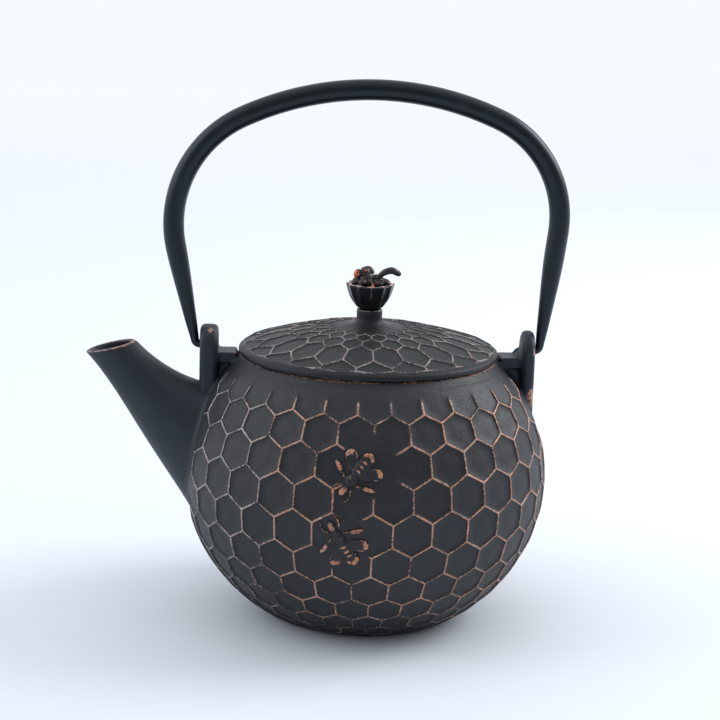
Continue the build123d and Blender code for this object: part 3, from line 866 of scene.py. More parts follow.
def makePotBelly():
    halfWide = math.pi / pot["columns"]
    side = halfWide / math.sqrt(3)
    cell = {"halfWide": halfWide, "sideHalf": side, "tipHalf": 2 * side, "rowStep": pot["rowStep"]}
    sheet, u, v, height = layComb("potBelly", "bellyCell", pot, cell, castIron, bellyR)
    topV, footV = pot["topV"], pot["footV"]
    v = np.where(v > topV, topV + (v - topV) * pot["topSqueeze"],
                 np.where(v < footV, footV + (v - footV) * pot["footSqueeze"], v))
    base = bellyPoint(u, v)
    crest = height * (1 - smoothStep(v, *pot["fadeTopV"]))
    for bee in reliefBees:
        spot = bellyPoint(math.radians(bee["clearTurn"]), bellyV(bee["clearZ"]))
        crest *= smoothStep(np.linalg.norm(base - spot, axis=1), bee["clear"] - pot["beeEdge"],
                            bee["clear"] + pot["beeEdge"])
    crest *= smoothStep(rootDistance(base), *pot["spoutClear"])
    footFade = pot["footShare"] + (1 - pot["footShare"]) * smoothStep(v, *pot["fadeFootV"])
    crest *= smoothStep(earDistance(base), *pot["earClear"]) * footFade
    waver = np.array([noise.noise(Vector(p) / pot["waverSize"]) for p in base])
    lift = pot["ridge"] * crest * (1 + pot["ridgeWaver"] * waver) + pot["waver"] * waver
    setPoints(sheet, bellyPoint(u, v, lift))
    under = smoothStep(-v, 0.5, 1.05)        # less is rubbed low down, and low down on the spout's side
    spoutSide = smoothStep(-np.sin(u), 0.3, 0.75) * smoothStep(-v, 0.15, 0.6)
    setCrest(sheet, crest * (0.92 + 0.25 * waver - (0.28 * under + 0.22 * spoutSide)))
    weldPoints(sheet, comb["thinGap"])

    loops, points, faces, values = openSheet(sheet)
    for loop in loops:
        angles = rimAngles(points, loop)
        inside = []
        top = points[loop[0]][2] > pot["middleZ"]
        if top:
            stepR, stepZ = pot["stepRing"]
            outside = [(bellyRadiusAt(z), z, 0) for z in pot["shoulder"]]
            outside += [(stepR + 0.12, stepZ - 0.2, 0.2), (stepR + 0.02, stepZ, 0.48),
                        (stepR - 0.35, stepZ + 0.12, 0.15)]
            outside += [(bellyRadiusAt(z) - pot["neckIn"], z, 0) for z in pot["neck"]] + pot["lip"]
            low, corner = pot["floorZ"], pot["floorZ"] + pot["cornerUp"]
            inside = [(r, z, 0) for r, z in pot["seat"]]
            inside += [(bellyRadiusAt(z, pot["wall"]), z, 0)
                       for z in np.linspace(pot["throatZ"], corner, pot["hollowRings"])]
            floorR = bellyRadiusAt(corner, pot["wall"])
            inside += [(floorR - 2.0, low + 1.0, 0), (floorR - 4.5, low, 0), (20.0, low, 0), (4.0, low, 0)]
        else:
            outside = [(bellyRadiusAt(pot["footTopZ"]), pot["footTopZ"], 0.3)] + pot["foot"]
        before = addRings(points, faces, values, loop, angles, outside)
        if top:
            enamelFrom = len(faces)
        before = addRings(points, faces, values, before, angles, inside)
        points.append((0.0, 0.0, (inside or outside)[-1][1]))
        values.append(0.0)
        count = len(before)
        faces += [(before[i], before[(i + 1) % count], len(points) - 1) for i in range(count)]
        if top:
            enamelTo = len(faces)
    belly = newPiece("potBelly", points, faces)
    setCrest(belly, values)
    for index in range(enamelFrom, enamelTo):
        belly.data.polygons[index].material_index = 1
    faceOutwards(belly)
    wide, high, z = spout["opening"]
    angles = aroundCircle(40)
    hole = ringSkin([[(x, wide * math.cos(a), z + high * math.sin(a)) for a in angles] for x in spout["openingX"]])
    belly.data.materials.append(castIron)
    belly.data.materials.append(blackEnamel)
    cutHole(belly, faceOutwards(newPiece("cutter", *hole)))
    return dress(belly, "pot", [castIron, blackEnamel],
                 ["pot_floor", "pot_lower_wall", "pot_belly_wall", "pot_upper_wall", "pot_seat_ring", "pot_lip"])


potBelly = makePotBelly()
print("pot belly", len(potBelly.data.polygons), "faces")


def makePotSpout():
    count = spout["count"]
    loops = [spoutSection(0.0, thinner, extend) for thinner, extend, _ in spout["mouth"]]
    crest = [c for _, _, c in spout["mouth"]]
    back = spoutMeets - spout["filletBack"] / 60.0
    for share in np.linspace(0.03, 1.0, 22):
        loops.append(np.array([spoutSection(share * back[i])[i] for i in range(count)]))
        crest.append(0.3 if share < 0.04 else 0.0)
    start, corner = loops[-1], spoutRoot     # the fillet runs from start past the corner to end, on the belly
    away = corner - corner.mean(axis=0)
    half = np.where(corner[:, 2] > pot["middleZ"], pot["highHalf"], pot["lowHalf"])
    normal = np.stack([corner[:, 0] / pot["radius"] ** 2, corner[:, 1] / pot["radius"] ** 2,
                       (corner[:, 2] - pot["middleZ"]) / half ** 2], axis=1)
    normal /= np.linalg.norm(normal, axis=1)[:, None]
    away -= normal * (away * normal).sum(1)[:, None]
    away /= np.linalg.norm(away, axis=1)[:, None]
    end = onBelly(corner + away * spout["filletOut"], -spout["sink"])
    for t in np.linspace(0, 1, 9)[1:]:
        loops.append((1 - t) ** 2 * start + 2 * t * (1 - t) * corner + t * t * end)
    meets, _ = spoutCrossing(spout["wall"], -1.6)
    for share in np.linspace(1.0, 0.04, 16):
        loops.append(np.array([spoutSection(share * meets[i], spout["wall"])[i] for i in range(count)]))
    crest += [0.0] * (len(loops) - len(crest))
    loops += [spoutSection(0.0, spout["wall"], -0.5), spoutSection(0.0, spout["wall"] - 0.2, -0.1)]
    crest += [0.3, 0.5]
    points, faces = ringSkin([list(loop) for loop in loops], loopBack=True)
    piece = faceOutwards(newPiece("potSpout", points, faces))
    setCrest(piece, np.repeat(crest, count))
    return dress(piece, "pot", [spoutIron], ["spout"])


potSpout = makePotSpout()
print("spout", len(potSpout.data.polygons), "faces")


def slabForm(outline, xs, insets):           # an outline in YZ, thickened along X with rounded edges
    middle = np.mean(outline, axis=0)[0]
    return ringSkin([[(x, middle + (y - middle) * (1 - inset / 8.0), z - (inset if z > 100 else 0)) for y, z in outline]
                     for x, inset in zip(xs, insets)])


def blockForm(lowX, highX, halfY, lowZ, highZ):
    ring = [(-halfY, lowZ), (halfY, lowZ), (halfY, highZ), (-halfY, highZ)]
    return ringSkin([[(x, y, z) for y, z in ring] for x in (lowX, highX)])


def bellyPatch(low, high, halfTurn, lowZ, highZ, thick=2.6):    # a piece of the belly's wall to blend a form onto
    us = np.linspace(low - halfTurn, high + halfTurn, 34)
    vs = bellyV(np.linspace(lowZ, highZ, 34))
    outer = np.array([[bellyPoint(u, v, 0.0) for u in us] for v in vs])
    inner = np.array([[bellyPoint(u, v, -thick) for u in us] for v in vs])
    rows, columns = outer.shape[:2]
    points = [tuple(p) for p in outer.reshape(-1, 3)] + [tuple(p) for p in inner.reshape(-1, 3)]
    half = rows * columns
    faces = []
    for i in range(rows - 1):
        for j in range(columns - 1):
            a, b, c, d = i * columns + j, i * columns + j + 1, (i + 1) * columns + j + 1, (i + 1) * columns + j
            faces += [(a, b, c, d), (half + d, half + c, half + b, half + a)]
    rim = list(range(columns)) + [i * columns + columns - 1 for i in range(1, rows)]
    rim += [(rows - 1) * columns + j for j in range(columns - 2, -1, -1)]
    rim += [i * columns for i in range(rows - 2, 0, -1)]
    for k, a in enumerate(rim):
        b = rim[(k + 1) % len(rim)]
        faces.append((b, a, half + a, half + b))
    return points, faces


def makeEar(name, side, node):
    wide, pivot = ears["halfWide"], ears["pivotZ"]
    arc = [(wide * math.cos(a), pivot + wide * math.sin(a)) for a in np.linspace(0, math.pi, 25)]
    outline = [(wide, ears["footZ"])] + arc + [(-wide, ears["footZ"])]
    innerX, outerX = (ears["backInnerX"], ears["backOuterX"]) if side > 0 else (ears["innerX"], ears["outerX"])
    thick = outerX - innerX
    steps = ears["edge"] + [(thick - s, i) for s, i in ears["edge"][::-1]]
    parts = [slabForm(outline, [innerX + s for s, _ in steps], [i for _, i in steps]),
             blockForm(*ears["arm"]), blockForm(*ears["web"])]
    if side > 0:                             # the back ear swells into its arm
        parts.append(eggForm(*ears["swell"]))
    parts.append(bellyPatch(*ears["patch"]))
    if side < 0:
        parts = [([(-p[0], p[1], p[2]) for p in points], [f[::-1] for f in faces]) for points, faces in parts]
    piece = voxelSkin(name, parts, ears["voxel"])
    relax(piece, ears["rounds"])
    points = pointsOf(piece)
    off = np.abs(bellyLevel(points)) * 39.0  # about mm from the belly's surface
    near = off < 1.0                         # past its foot, the skin on the belly sinks out of sight
    share = smoothStep(earDistance(points)[near], 3.0, 6.5)[:, None]
    points[near] = points[near] * (1 - share) + onBelly(points[near], -ears["sink"]) * share
    setPoints(piece, points)
    crest = edgeCrest(piece, 0.035, 0.14)
    crest = np.maximum(crest * smoothStep(points[:, 2], 88, 100), 0)
    topSpot = np.linalg.norm(points - np.array((side * 67.6, -5.0, pivot + wide - 1.6)), axis=1)
    crest = np.maximum(crest * 0.8, (0.72 if side < 0 else 0.5) * (1.0 - smoothStep(topSpot, 0.5, 3.8)))
    if side > 0:
        for spot, reach, weight in ears["chips"]:
            gap = np.linalg.norm((points - np.array(spot)) * (1, 1, 0.7), axis=1)
            crest = np.maximum(crest, weight * (1.0 - smoothStep(gap, 0.2 * reach, reach)))
    setCrest(piece, crest)
    bore = [[(side * x, ears["holeR"] * math.cos(a), pivot + ears["holeR"] * math.sin(a)) for a in aroundCircle(28)]
            for x in (ears["innerX"] - 3, ears["outerX"] + 3)]
    piece.data.materials.append(spoutIron)
    cutHole(piece, faceOutwards(newPiece("cutter", *ringSkin(bore))))
    return dress(piece, "pot", [spoutIron], [node])


earSpoutSide = makeEar("potEarSpoutSide", -1, "ear_spout_side")
earBack = makeEar("potEarBack", 1, "ear_back")
print("ears", len(earSpoutSide.data.polygons) + len(earBack.data.polygons), "faces")


flatBeeForm = {                              # one bee laid out flat, its tail towards +X
    "stand": 0.7,                            # at this share of its full height it stands 1.8 mm off the belly
    "head": ((-8.9, 0, 0.4), (2.5, 1.75, 1.4)), "chest": ((-3.8, 0, 0.4), (2.8, 2.5, 2.0)),
    "tail": ((2.6, 0, 0.3), (5.2, 2.9, 1.75)), "bands": ((0.4, 2.0), (2.6, 2.2), (4.7, 2.0)),    # place and reach
    "tailRim": [(5.6, -2.1, 0.9), (7.6, -1.7, 1.2), (8.6, 0, 1.3), (7.6, 1.7, 1.2), (5.8, 2.1, 0.9)],
    "wing": ((2.2, 4.7, 0.15), (4.8, 2.4, 0.95)), "wingWay": (0.62, 0.785), "wingTip": (4.7, 7.4, 0.75),
    "wingRim": ((-4.4, -1.9), (-1.6, -2.0), (-0.1, -1.5), (0.5, 0.0), (-0.1, 1.5), (-1.6, 2.0), (-4.4, 1.9)),
    "feeler": [(-7.2, 2.3, 0.5), (-8.9, 3.4, 0.75), (-10.9, 3.7, 0.75), (-12.4, 3.0, 0.5)],
    "leg": [(-4.4, 3.0, 0.4), (-3.4, 5.4, 0.8), (-2.4, 7.8, 0.9), (-1.8, 9.6, 0.5)], "voxel": 0.26,
    # rubbed spots: where, how far and how much
    "bodyRubs": [((-9.8, 0.0, 1.6), 1.5, 0.95), ((-8.3, 0.1, 1.7), 1.6, 0.95), ((-3.2, -0.9, 2.3), 1.0, 0.6),
                 ((7.6, -1.6, 1.9), 1.3, 1.0), ((8.6, 0, 2.1), 1.4, 1.0), ((7.4, 1.6, 1.9), 1.1, 0.9)],
    "sideRubs": [((-10.6, 3.7, 1.0), 1.8, 0.55), ((-2.9, 6.6, 1.6), 1.5, 1.0), ((-2.1, 8.6, 1.6), 1.5, 1.0)],
}


def flatBee():
    form = flatBeeForm
    parts = [eggForm(*form["head"]), eggForm(*form["chest"]), eggForm(*form["tail"])]
    for place, reach in form["bands"]:
        parts.append(stroke([(place - 0.3, -reach, 1.2), (place + 0.2, 0, 2.2), (place - 0.3, reach, 1.2)],
                            (0.3, 0.45, 0.3)))
    parts.append(stroke(form["tailRim"], (0.6, 0.9, 1.0, 0.9, 0.55)))
    rubs = list(form["bodyRubs"])
    wayX, wayY = form["wingWay"]
    for side in (-1, 1):
        mirrored = np.array((1, side, 1))
        parts.append(stroke(form["feeler"] * mirrored, (0.35, 0.42, 0.42, 0.3)))
        parts.append(stroke(form["leg"] * mirrored, (0.4, 0.75, 0.95, 0.6)))
        rubs += [(tuple(spot * mirrored), reach, weight) for spot, reach, weight in form["sideRubs"]]
        along, cross = np.array((wayX, side * wayY, 0)), np.array((-side * wayY, wayX, 0))
        centre, half = form["wing"]
        parts.append(eggForm(centre * mirrored, half, np.stack([along, cross, (0, 0, 1)], axis=1)))
        tip = form["wingTip"] * mirrored
        parts.append(stroke([tip + along * a + cross * c for a, c in form["wingRim"]],
                            (0.3, 0.45, 0.75, 0.9, 0.75, 0.45, 0.3)))
        for lean in (-0.8, 0.7):             # veins
            parts.append(stroke([tip - along * 5.0 + cross * lean * 0.5 + (0, 0, 0.3),
                                 tip - along * 1.0 + cross * lean + (0, 0, 0.2)], (0.22, 0.25)))
        rubs += [(tuple(tip + along * 0.4 + (0, 0, 0.7)), 1.7, 1.0),
                 (tuple(tip - along * 0.4 - cross * 1.4 + (0, 0, 0.5)), 1.2, 0.9)]
        parts.append(stroke([(-0.4, side * 2.0, 0.7), (2.4, side * 5.0, 0.95)], (0.35, 0.25)))
    return parts, rubs


def makeReliefBee(bee):
    parts, rubs = flatBee()
    piece = voxelSkin(bee["name"], parts, flatBeeForm["voxel"])
    relax(piece, 2, 0.4)
    points = pointsOf(piece)
    crest = np.zeros(len(points))
    for centre, reach, weight in rubs:
        gap = np.linalg.norm(points - np.array(centre), axis=1)
        crest = np.maximum(crest, weight * (1 - smoothStep(gap, 0.35 * reach, 1.25 * reach)))
    crest = np.maximum(crest, 0.62 * edgeCrest(piece, 0.03, 0.13))
    onBody = smoothStep(points[:, 0], -0.6, 0.0) * (1 - smoothStep(points[:, 0], 5.4, 6.2))
    crest = np.maximum(crest, 0.85 * onBody * smoothStep(points[:, 2], 2.1, 2.35))
    heading = math.radians(bee["heading"])
    along = points[:, 0] * math.cos(heading) + points[:, 1] * math.sin(heading)
    up = points[:, 0] * math.sin(heading) - points[:, 1] * math.cos(heading)
    v = float(bellyV(bee["z"]))
    radius = float(bellyR(v))
    placed = bellyPoint(math.radians(bee["turn"]) + along / radius, v + up / radius,
                        flatBeeForm["stand"] * points[:, 2])
    setPoints(piece, placed)
    setCrest(piece, crest)
    faceOutwards(piece)
    return dress(piece, "pot", [beeIron])


for reliefBee in reliefBees:
    made = makeReliefBee(reliefBee)
    print(made.name, len(made.data.polygons), "faces")


lid = {
    "radius": 56.0, "rimZ": 117.2, "rise": 10.0, "power": 1.1, "wall": 3.0,
    "columns": 22, "rows": 5, "sideHalf": 0.085, "tipHalf": 0.218, "rowStep": 0.303, "firstRowV": 0.388,
    "combR": 35.5, "squeezeV": (0.0, 0.17, 0.303, 0.473, 0.606), "squeezeR": (35.5, 44.4, 50.4, 52.9, 54.2),
    "ridge": 0.55, "ridgeInsets": (0.0, 0.25, 0.5, 0.72), "ridgeWaver": 0.25, "waver": 0.04, "waverSize": 7.0,
    "fadeR": (12.6, 17.5), "edgeFadeR": (52.8, 54.0),
    "rim": [(55.35, 117.1, 0.2), (55.75, 116.75, 0.34), (55.95, 116.2, 0.2), (55.95, 115.5, 0.15),
            (55.75, 114.85, 0.5), (55.4, 114.6, 0.35), (50.3, 114.6, 0), (49.8, 115.1, 0)],
    "rimR": 54.75, "underR": (44.0, 38.0, 32.0, 26.0, 20.0, 12.0),
    "boss": [(7.8, 124.0, 0), (7.5, 123.4, 0), (7.5, 121.7, 0), (7.2, 121.5, 0), (2.2, 121.5, 0), (2.2, 134.0, 0),
             (4.9, 134.2, 0.3), (5.4, 134.05, 0.8), (5.55, 133.6, 0.5), (5.5, 132.0, 0), (5.5, 130.4, 0),
             (5.75, 129.3, 0), (6.5, 128.3, 0), (7.9, 127.4, 0)],    # up the screw hole and down the collar
    "skirt": (38.0, 35.5, 109.0), "skirtEdge": 0.3,
}


def lidZ(r):
    return lid["rimZ"] + lid["rise"] * np.clip(1 - (r / lid["radius"]) ** 2, 0, None) ** lid["power"]


def combRadius(v):                           # the comb is even out to its last row, which the rim squeezes
    inner = lid["combR"] * np.exp(np.minimum(v, 0.0))
    return np.where(v < 0, inner, np.interp(v, lid["squeezeV"], lid["squeezeR"]))


def makeLid():
    cell = {"halfWide": math.pi / lid["columns"], "sideHalf": lid["sideHalf"], "tipHalf": lid["tipHalf"],
            "rowStep": lid["rowStep"]}
    sheet, u, v, height = layComb("lidTop", "lidCell", lid, cell, lidIron, combRadius,
                                  lambda radius: np.clip(radius / 36.0, 0.55, 1.0))
    r = combRadius(v)
    crest = height * smoothStep(r, *lid["fadeR"])
    crest *= 1 - 0.15 * smoothStep(r, *lid["edgeFadeR"])
    waver = np.array([noise.noise(Vector((a, b, 3.0)) / lid["waverSize"])
                      for a, b in zip(r * np.sin(u), r * np.cos(u))])
    ridge = lid["ridge"] * np.clip(r / 30.0, 0.5, 1.0)    # lower towards the middle, where the cells are small
    z = lidZ(r) + ridge * crest * (1 + lid["ridgeWaver"] * waver) + lid["waver"] * waver
    setPoints(sheet, np.stack([r * np.sin(u), -r * np.cos(u), z], axis=1))
    setCrest(sheet, crest * (0.85 + 0.3 * waver))
    weldPoints(sheet, comb["thinGap"])

    loops, points, faces, values = openSheet(sheet)
    loops.sort(key=lambda loop: -math.hypot(*points[loop[0]][:2]))
    outerLoop, innerLoop = loops[0], loops[1]
    angles = rimAngles(points, outerLoop)
    profile = [(lid["rimR"], float(lidZ(lid["rimR"])), 0.1)] + lid["rim"]
    profile += [(r, float(lidZ(r)) - lid["wall"], 0) for r in lid["underR"]] + lid["boss"]
    before = addRings(points, faces, values, outerLoop, angles, profile)
    turned = {round(angle, 3): i for angle, i in zip(rimAngles(points, innerLoop), innerLoop)}
    keys = np.array(sorted(turned))
    match = [turned[keys[np.abs(keys - a).argmin()]] for a in angles]
    count = len(outerLoop)
    faces += [(before[i], before[(i + 1) % count], match[(i + 1) % count], match[i]) for i in range(count)]
    outR, inR, skirtZ = lid["skirt"]
    edge = lid["skirtEdge"]
    topZ = float(lidZ(outR)) - lid["wall"] / 2
    ringProfile = [(inR + edge, skirtZ), (outR - edge, skirtZ), (outR, skirtZ + edge), (outR, topZ), (inR, topZ),
                   (inR, skirtZ + edge)]
    base = len(points)
    skirtPoints, skirtFaces = ringSkin(lathe(ringProfile, 96), loopBack=True)
    faces += [tuple(base + i for i in f) for f in skirtFaces]
    piece = newPiece("lidDome", points + skirtPoints, faces)
    setCrest(piece, values + [0.0] * len(skirtPoints))
    faceOutwards(piece)
    return dress(piece, "lid", [lidIron], ["lid", "lid_rim", "lid_skirt"])


lidDome = makeLid()
print("lid", len(lidDome.data.polygons), "faces")


knob = {
    "profile": [(4.1, 134.2), (4.6, 134.6), (6.0, 135.5), (7.5, 137.5), (8.9, 140.1), (9.75, 142.6), (10.45, 144.9)],
    "flutes": 12, "fluteDepth": 0.075, "fluteZ": (134.6, 138.5), "ribZ": (137, 141), "scallop": 0.45,
    "rim": [(10.42, 0.18, 0.85), (10.15, 0.3, 1.0), (9.6, 0.3, 0.8), (9.0, 0.05, 0.3)],    # radius, lift and rubbing
    "hollow": [(8.3, 144.2), (7.4, 142.6), (5.6, 141.0), (2.5, 140.6)],
}


def ringAt(radii, heights, angles):
    return [(r * math.sin(a), -r * math.cos(a), z) for r, z, a in zip(radii, heights, angles)]


def makeKnobCup():
    count = knob["flutes"] * 10
    angles = aroundCircle(count)
    wave = np.abs(np.sin(angles * knob["flutes"] / 2))         # sharp ribs with hollow flutes between
    flute = wave ** 0.9
    rows = np.array(knob["profile"])
    spots = np.linspace(0, len(rows) - 1, 26)
    radii, heights = curveThrough(rows[:, 0], spots), curveThrough(rows[:, 1], spots)
    loops, crest = [], []
    for r, z in zip(radii, heights):
        depth = knob["fluteDepth"] * smoothStep(z, *knob["fluteZ"])
        loops.append(ringAt(r * (1 - depth * flute), np.full(count, z), angles))
        crest.append(0.5 * (1 - wave) ** 2 * smoothStep(z, *knob["ribZ"]))
    topZ = knob["profile"][-1][1]
    for r, lift, c in knob["rim"]:
        loops.append(ringAt(r * (1 - knob["fluteDepth"] * flute), topZ + lift + knob["scallop"] * (1 - wave), angles))
        crest.append(c * (0.55 + 0.45 * (1 - wave)))
    for r, z in knob["hollow"]:
        loops.append(ringAt(np.full(count, r), np.full(count, z), angles))
        crest.append(np.zeros(count))
    points, faces = ringSkin(loops)
    piece = faceOutwards(newPiece("knobCup", points, faces))
    setCrest(piece, np.concatenate([np.concatenate(crest), [0, 0]]))
    return dress(piece, "lid", [knobLacquer], ["knob_cup"])


knobBeeForm = {                              # eggs: centre, half sizes, lean in degrees. Rods: points, radii, flatness
    "body": [
        ("egg", (-1.6, -0.2, 146.0), (4.0, 3.6, 4.6), -18), ("egg", (-5.7, -1.6, 149.7), (1.7, 1.6, 2.1), 25),
        ("egg", (-2.7, -0.8, 149.9), (2.6, 2.3, 2.2)), ("egg", (-0.4, 0.4, 150.6), (1.9, 2.2, 1.6)),
        ("rod", [(-4.6, -0.9, 150.4), (-2.6, -0.4, 151.7), (-0.6, 0.2, 151.8), (1.1, 0.6, 150.0)],
         (0.7, 0.9, 0.95, 0.7)),
        ("rod", [(0.6, 0.4, 147.2), (3.2, -0.6, 148.2), (5.8, -1.2, 150.3), (8.9, -1.3, 151.2), (11.6, -1.0, 150.0)],
         (1.0, 1.3, 1.75, 1.95, 1.6), 0.82),
        ("egg", (-6.3, -2.8, 146.4), (2.0, 1.8, 1.6)), ("egg", (-3.6, -4.6, 146.2), (1.9, 1.6, 1.5)),
        ("egg", (3.4, -4.4, 145.8), (2.0, 1.5, 1.4)), ("egg", (6.4, -1.4, 146.2), (1.8, 1.6, 1.4)),
        ("egg", (-5.6, 1.8, 146.6), (1.8, 1.8, 1.8)), ("egg", (2.2, -1.6, 148.4), (1.4, 1.3, 1.2)),
        ("rod", [(1.0, -1.4, 146.6), (3.8, -2.8, 146.8), (6.6, -3.4, 146.3), (8.4, -3.0, 145.3)],
         (1.0, 1.1, 1.0, 0.8), 0.7),
        ("rod", [(1.0, 1.6, 146.8), (4.0, 3.0, 147.0), (7.2, 3.2, 146.2)], (1.0, 1.0, 0.8), 0.7),
        ("rod", [(-1.4, -2.6, 147.2), (0.2, -4.6, 146.4), (0.8, -6.6, 145.2)], (0.6, 0.65, 0.6)),
        ("rod", [(-3.6, -2.2, 146.8), (-4.4, -4.6, 145.8), (-4.6, -6.4, 144.4)], (0.55, 0.6, 0.55)),
        ("rod", [(-3.6, 1.8, 146.8), (-5.0, 4.0, 145.8), (-5.6, 5.6, 144.4)], (0.55, 0.6, 0.55)),
        ("egg", (2.6, -0.4, 145.2), (4.4, 3.0, 2.4)),
    ],
    "bandsX": (-3.9, -2.7, -1.5), "plug": [(4.3, 140.7), (4.4, 146.0)], "voxel": 0.25,
    "rubs": [((-6.7, -2.6, 149.8), 2.1), ((0.7, -6.6, 145.6), 0.9), ((-2.4, -2.2, 151.0), 0.7)],
}


def makeKnobBee():
    parts = []
    for kind, place, size, *more in knobBeeForm["body"]:
        if kind == "rod":
            parts.append(stroke(place, size, *more))
        else:
            parts.append(eggForm(place, size, *(Matrix.Rotation(math.radians(lean), 3, "Y") for lean in more)))
    for place in knobBeeForm["bandsX"]:
        parts.append(stroke([(place - 0.2, -2.7, 149.6), (place, -2.1, 151.2), (place + 0.2, -0.3, 152.1)],
                            (0.3, 0.36, 0.3)))
    parts.append(ringSkin(lathe(knobBeeForm["plug"], 40)))    # sits in the cup and carries the rest
    piece = voxelSkin("knobBee", parts, knobBeeForm["voxel"])
    relax(piece, 2, 0.4)
    points = pointsOf(piece)
    crest = 0.75 * edgeCrest(piece, 0.03, 0.16)
    crest *= 1 - smoothStep(points[:, 0], 3.0, 8.0) * 0.6
    for centre, reach in knobBeeForm["rubs"]:
        gap = np.linalg.norm(points - np.array(centre), axis=1)
        crest = np.maximum(crest, 1.15 * (1 - smoothStep(gap, 0.7 * reach, reach)))
    setCrest(piece, crest)
    return dress(piece, "lid", [knobBeeLacquer], ["knob_bee"])


knobCup = makeKnobCup()
knobBee = makeKnobBee()
print("knob", len(knobCup.data.polygons), "faces in the cup and", len(knobBee.data.polygons), "in the bee")


handle = {
    "topZ": 227.6, "topRadius": 129.0, "hookBend": 2.3, "tipX": 65.2, "pivotZ": 117.3,
    "sides": {-1: (50.5, 12.0, 74.85), 1: (46.3, 6.4, 74.2)},      # shoulder radius, lean of the leg in degrees, hook X
    "radii": [(0.0, 1.75), (2.5, 2.0), (6.0, 2.4), (15.0, 3.0), (27.0, 3.85), (36.0, 4.35), (42.0, 4.45), (50.0, 4.45)],
}


def sidePath(side):                          # from the hook's tip up to the middle of the top, in X and Z
    shoulder, lean, hookX = handle["sides"][side]
    lean = math.radians(lean)
    up = np.array((math.sin(lean), math.cos(lean)))
    out = np.array((math.cos(lean), -math.sin(lean)))
    pivot, bend = handle["pivotZ"], handle["hookBend"]
    hook = np.array((hookX, pivot + bend))
    top = np.array((0.0, handle["topZ"] - handle["topRadius"]))
    base = hook - out * shoulder - top
    along = base @ up
    reach = -along + math.sqrt(along ** 2 - base @ base + (handle["topRadius"] - shoulder) ** 2)
    centre = hook - out * shoulder + up * reach
    away = (centre - top) / np.linalg.norm(centre - top)
    line = [np.array((x, pivot)) for x in np.linspace(handle["tipX"], hookX - bend, 6)[:-1]]
    corner = np.array((hookX - bend, pivot + bend))
    line += [corner + bend * np.array((math.sin(a), -math.cos(a))) for a in np.linspace(0, math.pi / 2, 8)]
    line += [hook + up * reach * s for s in np.linspace(0, 1, 30)[1:]]
    first, last = math.atan2(out[1], out[0]), math.atan2(away[1], away[0])
    line += [centre + shoulder * np.array((math.cos(a), math.sin(a))) for a in np.linspace(first, last, 30)[1:]]
    line += [top + handle["topRadius"] * np.array((math.cos(a), math.sin(a)))
             for a in np.linspace(last, math.pi / 2, 30)[1:]]
    line = np.array(line)
    gaps = np.concatenate([[0], np.cumsum(np.linalg.norm(np.diff(line, axis=0), axis=1))])
    fromHook = gaps - gaps[12]               # the hook's bend ends at the thirteenth point
    radii = np.interp(fromHook, *np.array(handle["radii"]).T)
    return np.stack([line[:, 0] * side, line[:, 1]], axis=1), radii


def makeHandle():
    left, leftR = sidePath(-1)
    right, rightR = sidePath(1)
    path = np.concatenate([left, right[::-1][1:]])
    radii = np.concatenate([leftR, rightR[::-1][1:]])
    for _ in range(3):
        radii[1:-1] = 0.25 * radii[:-2] + 0.5 * radii[1:-1] + 0.25 * radii[2:]
    tangents = np.gradient(path, axis=0)
    tangents /= np.linalg.norm(tangents, axis=1)[:, None]
    count = 36
    angles = aroundCircle(count)
    loops = []
    for (x, z), (tx, tz), r in zip(path, tangents, radii):
        loops.append([(x + r * math.cos(a) * -tz, r * math.sin(a), z + r * math.cos(a) * tx) for a in angles])
    points, faces = ringSkin(loops)
    piece = faceOutwards(newPiece("handleBail", points, faces))
    return dress(piece, "handle", [handlePaint],
                 ["handle_bow", "handle_leg_spout_side", "handle_leg_back"])


handleBail = makeHandle()
print("handle", len(handleBail.data.polygons), "faces")


strainer = {
    "radius": 39.6, "wall": 0.5, "lowZ": 52.9, "highZ": 105.6, "columns": 112, "rows": 24, "holeShare": 0.34,
    "floorZ": 48.4, "floorStep": 2.3, "floorWide": 74, "floorR": 36.8,
    "floorRim": [(36.2, 48.05), (39.3, 48.05), (39.3, 48.75), (36.2, 48.75)], "weld": 0.02,
}


def meshTile(name, step, rise, thick, holeShare):    # a square of sheet with one eight-sided hole
    square, hole = [], []
    for a in aroundCircle(8):
        reach = 1 / max(abs(math.cos(a)), abs(math.sin(a)))
        square.append((0.5 * reach * math.cos(a) * step, 0.5 * reach * math.sin(a) * rise))
        hole.append((holeShare * math.cos(a) * step, holeShare * math.sin(a) * rise))
    loops = [[(x, y, z) for x, y in outline] for outline, z in
             ((square, thick / 2), (hole, thick / 2), (hole, -thick / 2), (square, -thick / 2))]
    return gridTile(name, loops, False)


def closeRims(piece, spotOf, isFront):       # joins the two faces of a sheet along its open edges
    work = bmesh.new()
    work.from_mesh(piece.data)
    backs = {spotOf(v.co / mm): v for v in work.verts if not isFront(v.co / mm)}
    for edge in [e for e in work.edges if len(e.link_faces) == 1]:
        a, b = edge.verts
        if isFront(a.co / mm) and isFront(b.co / mm):
            work.faces.new((a, b, backs[spotOf(b.co / mm)], backs[spotOf(a.co / mm)]))
    bmesh.ops.recalc_face_normals(work, faces=work.faces)
    work.to_mesh(piece.data)
    work.free()


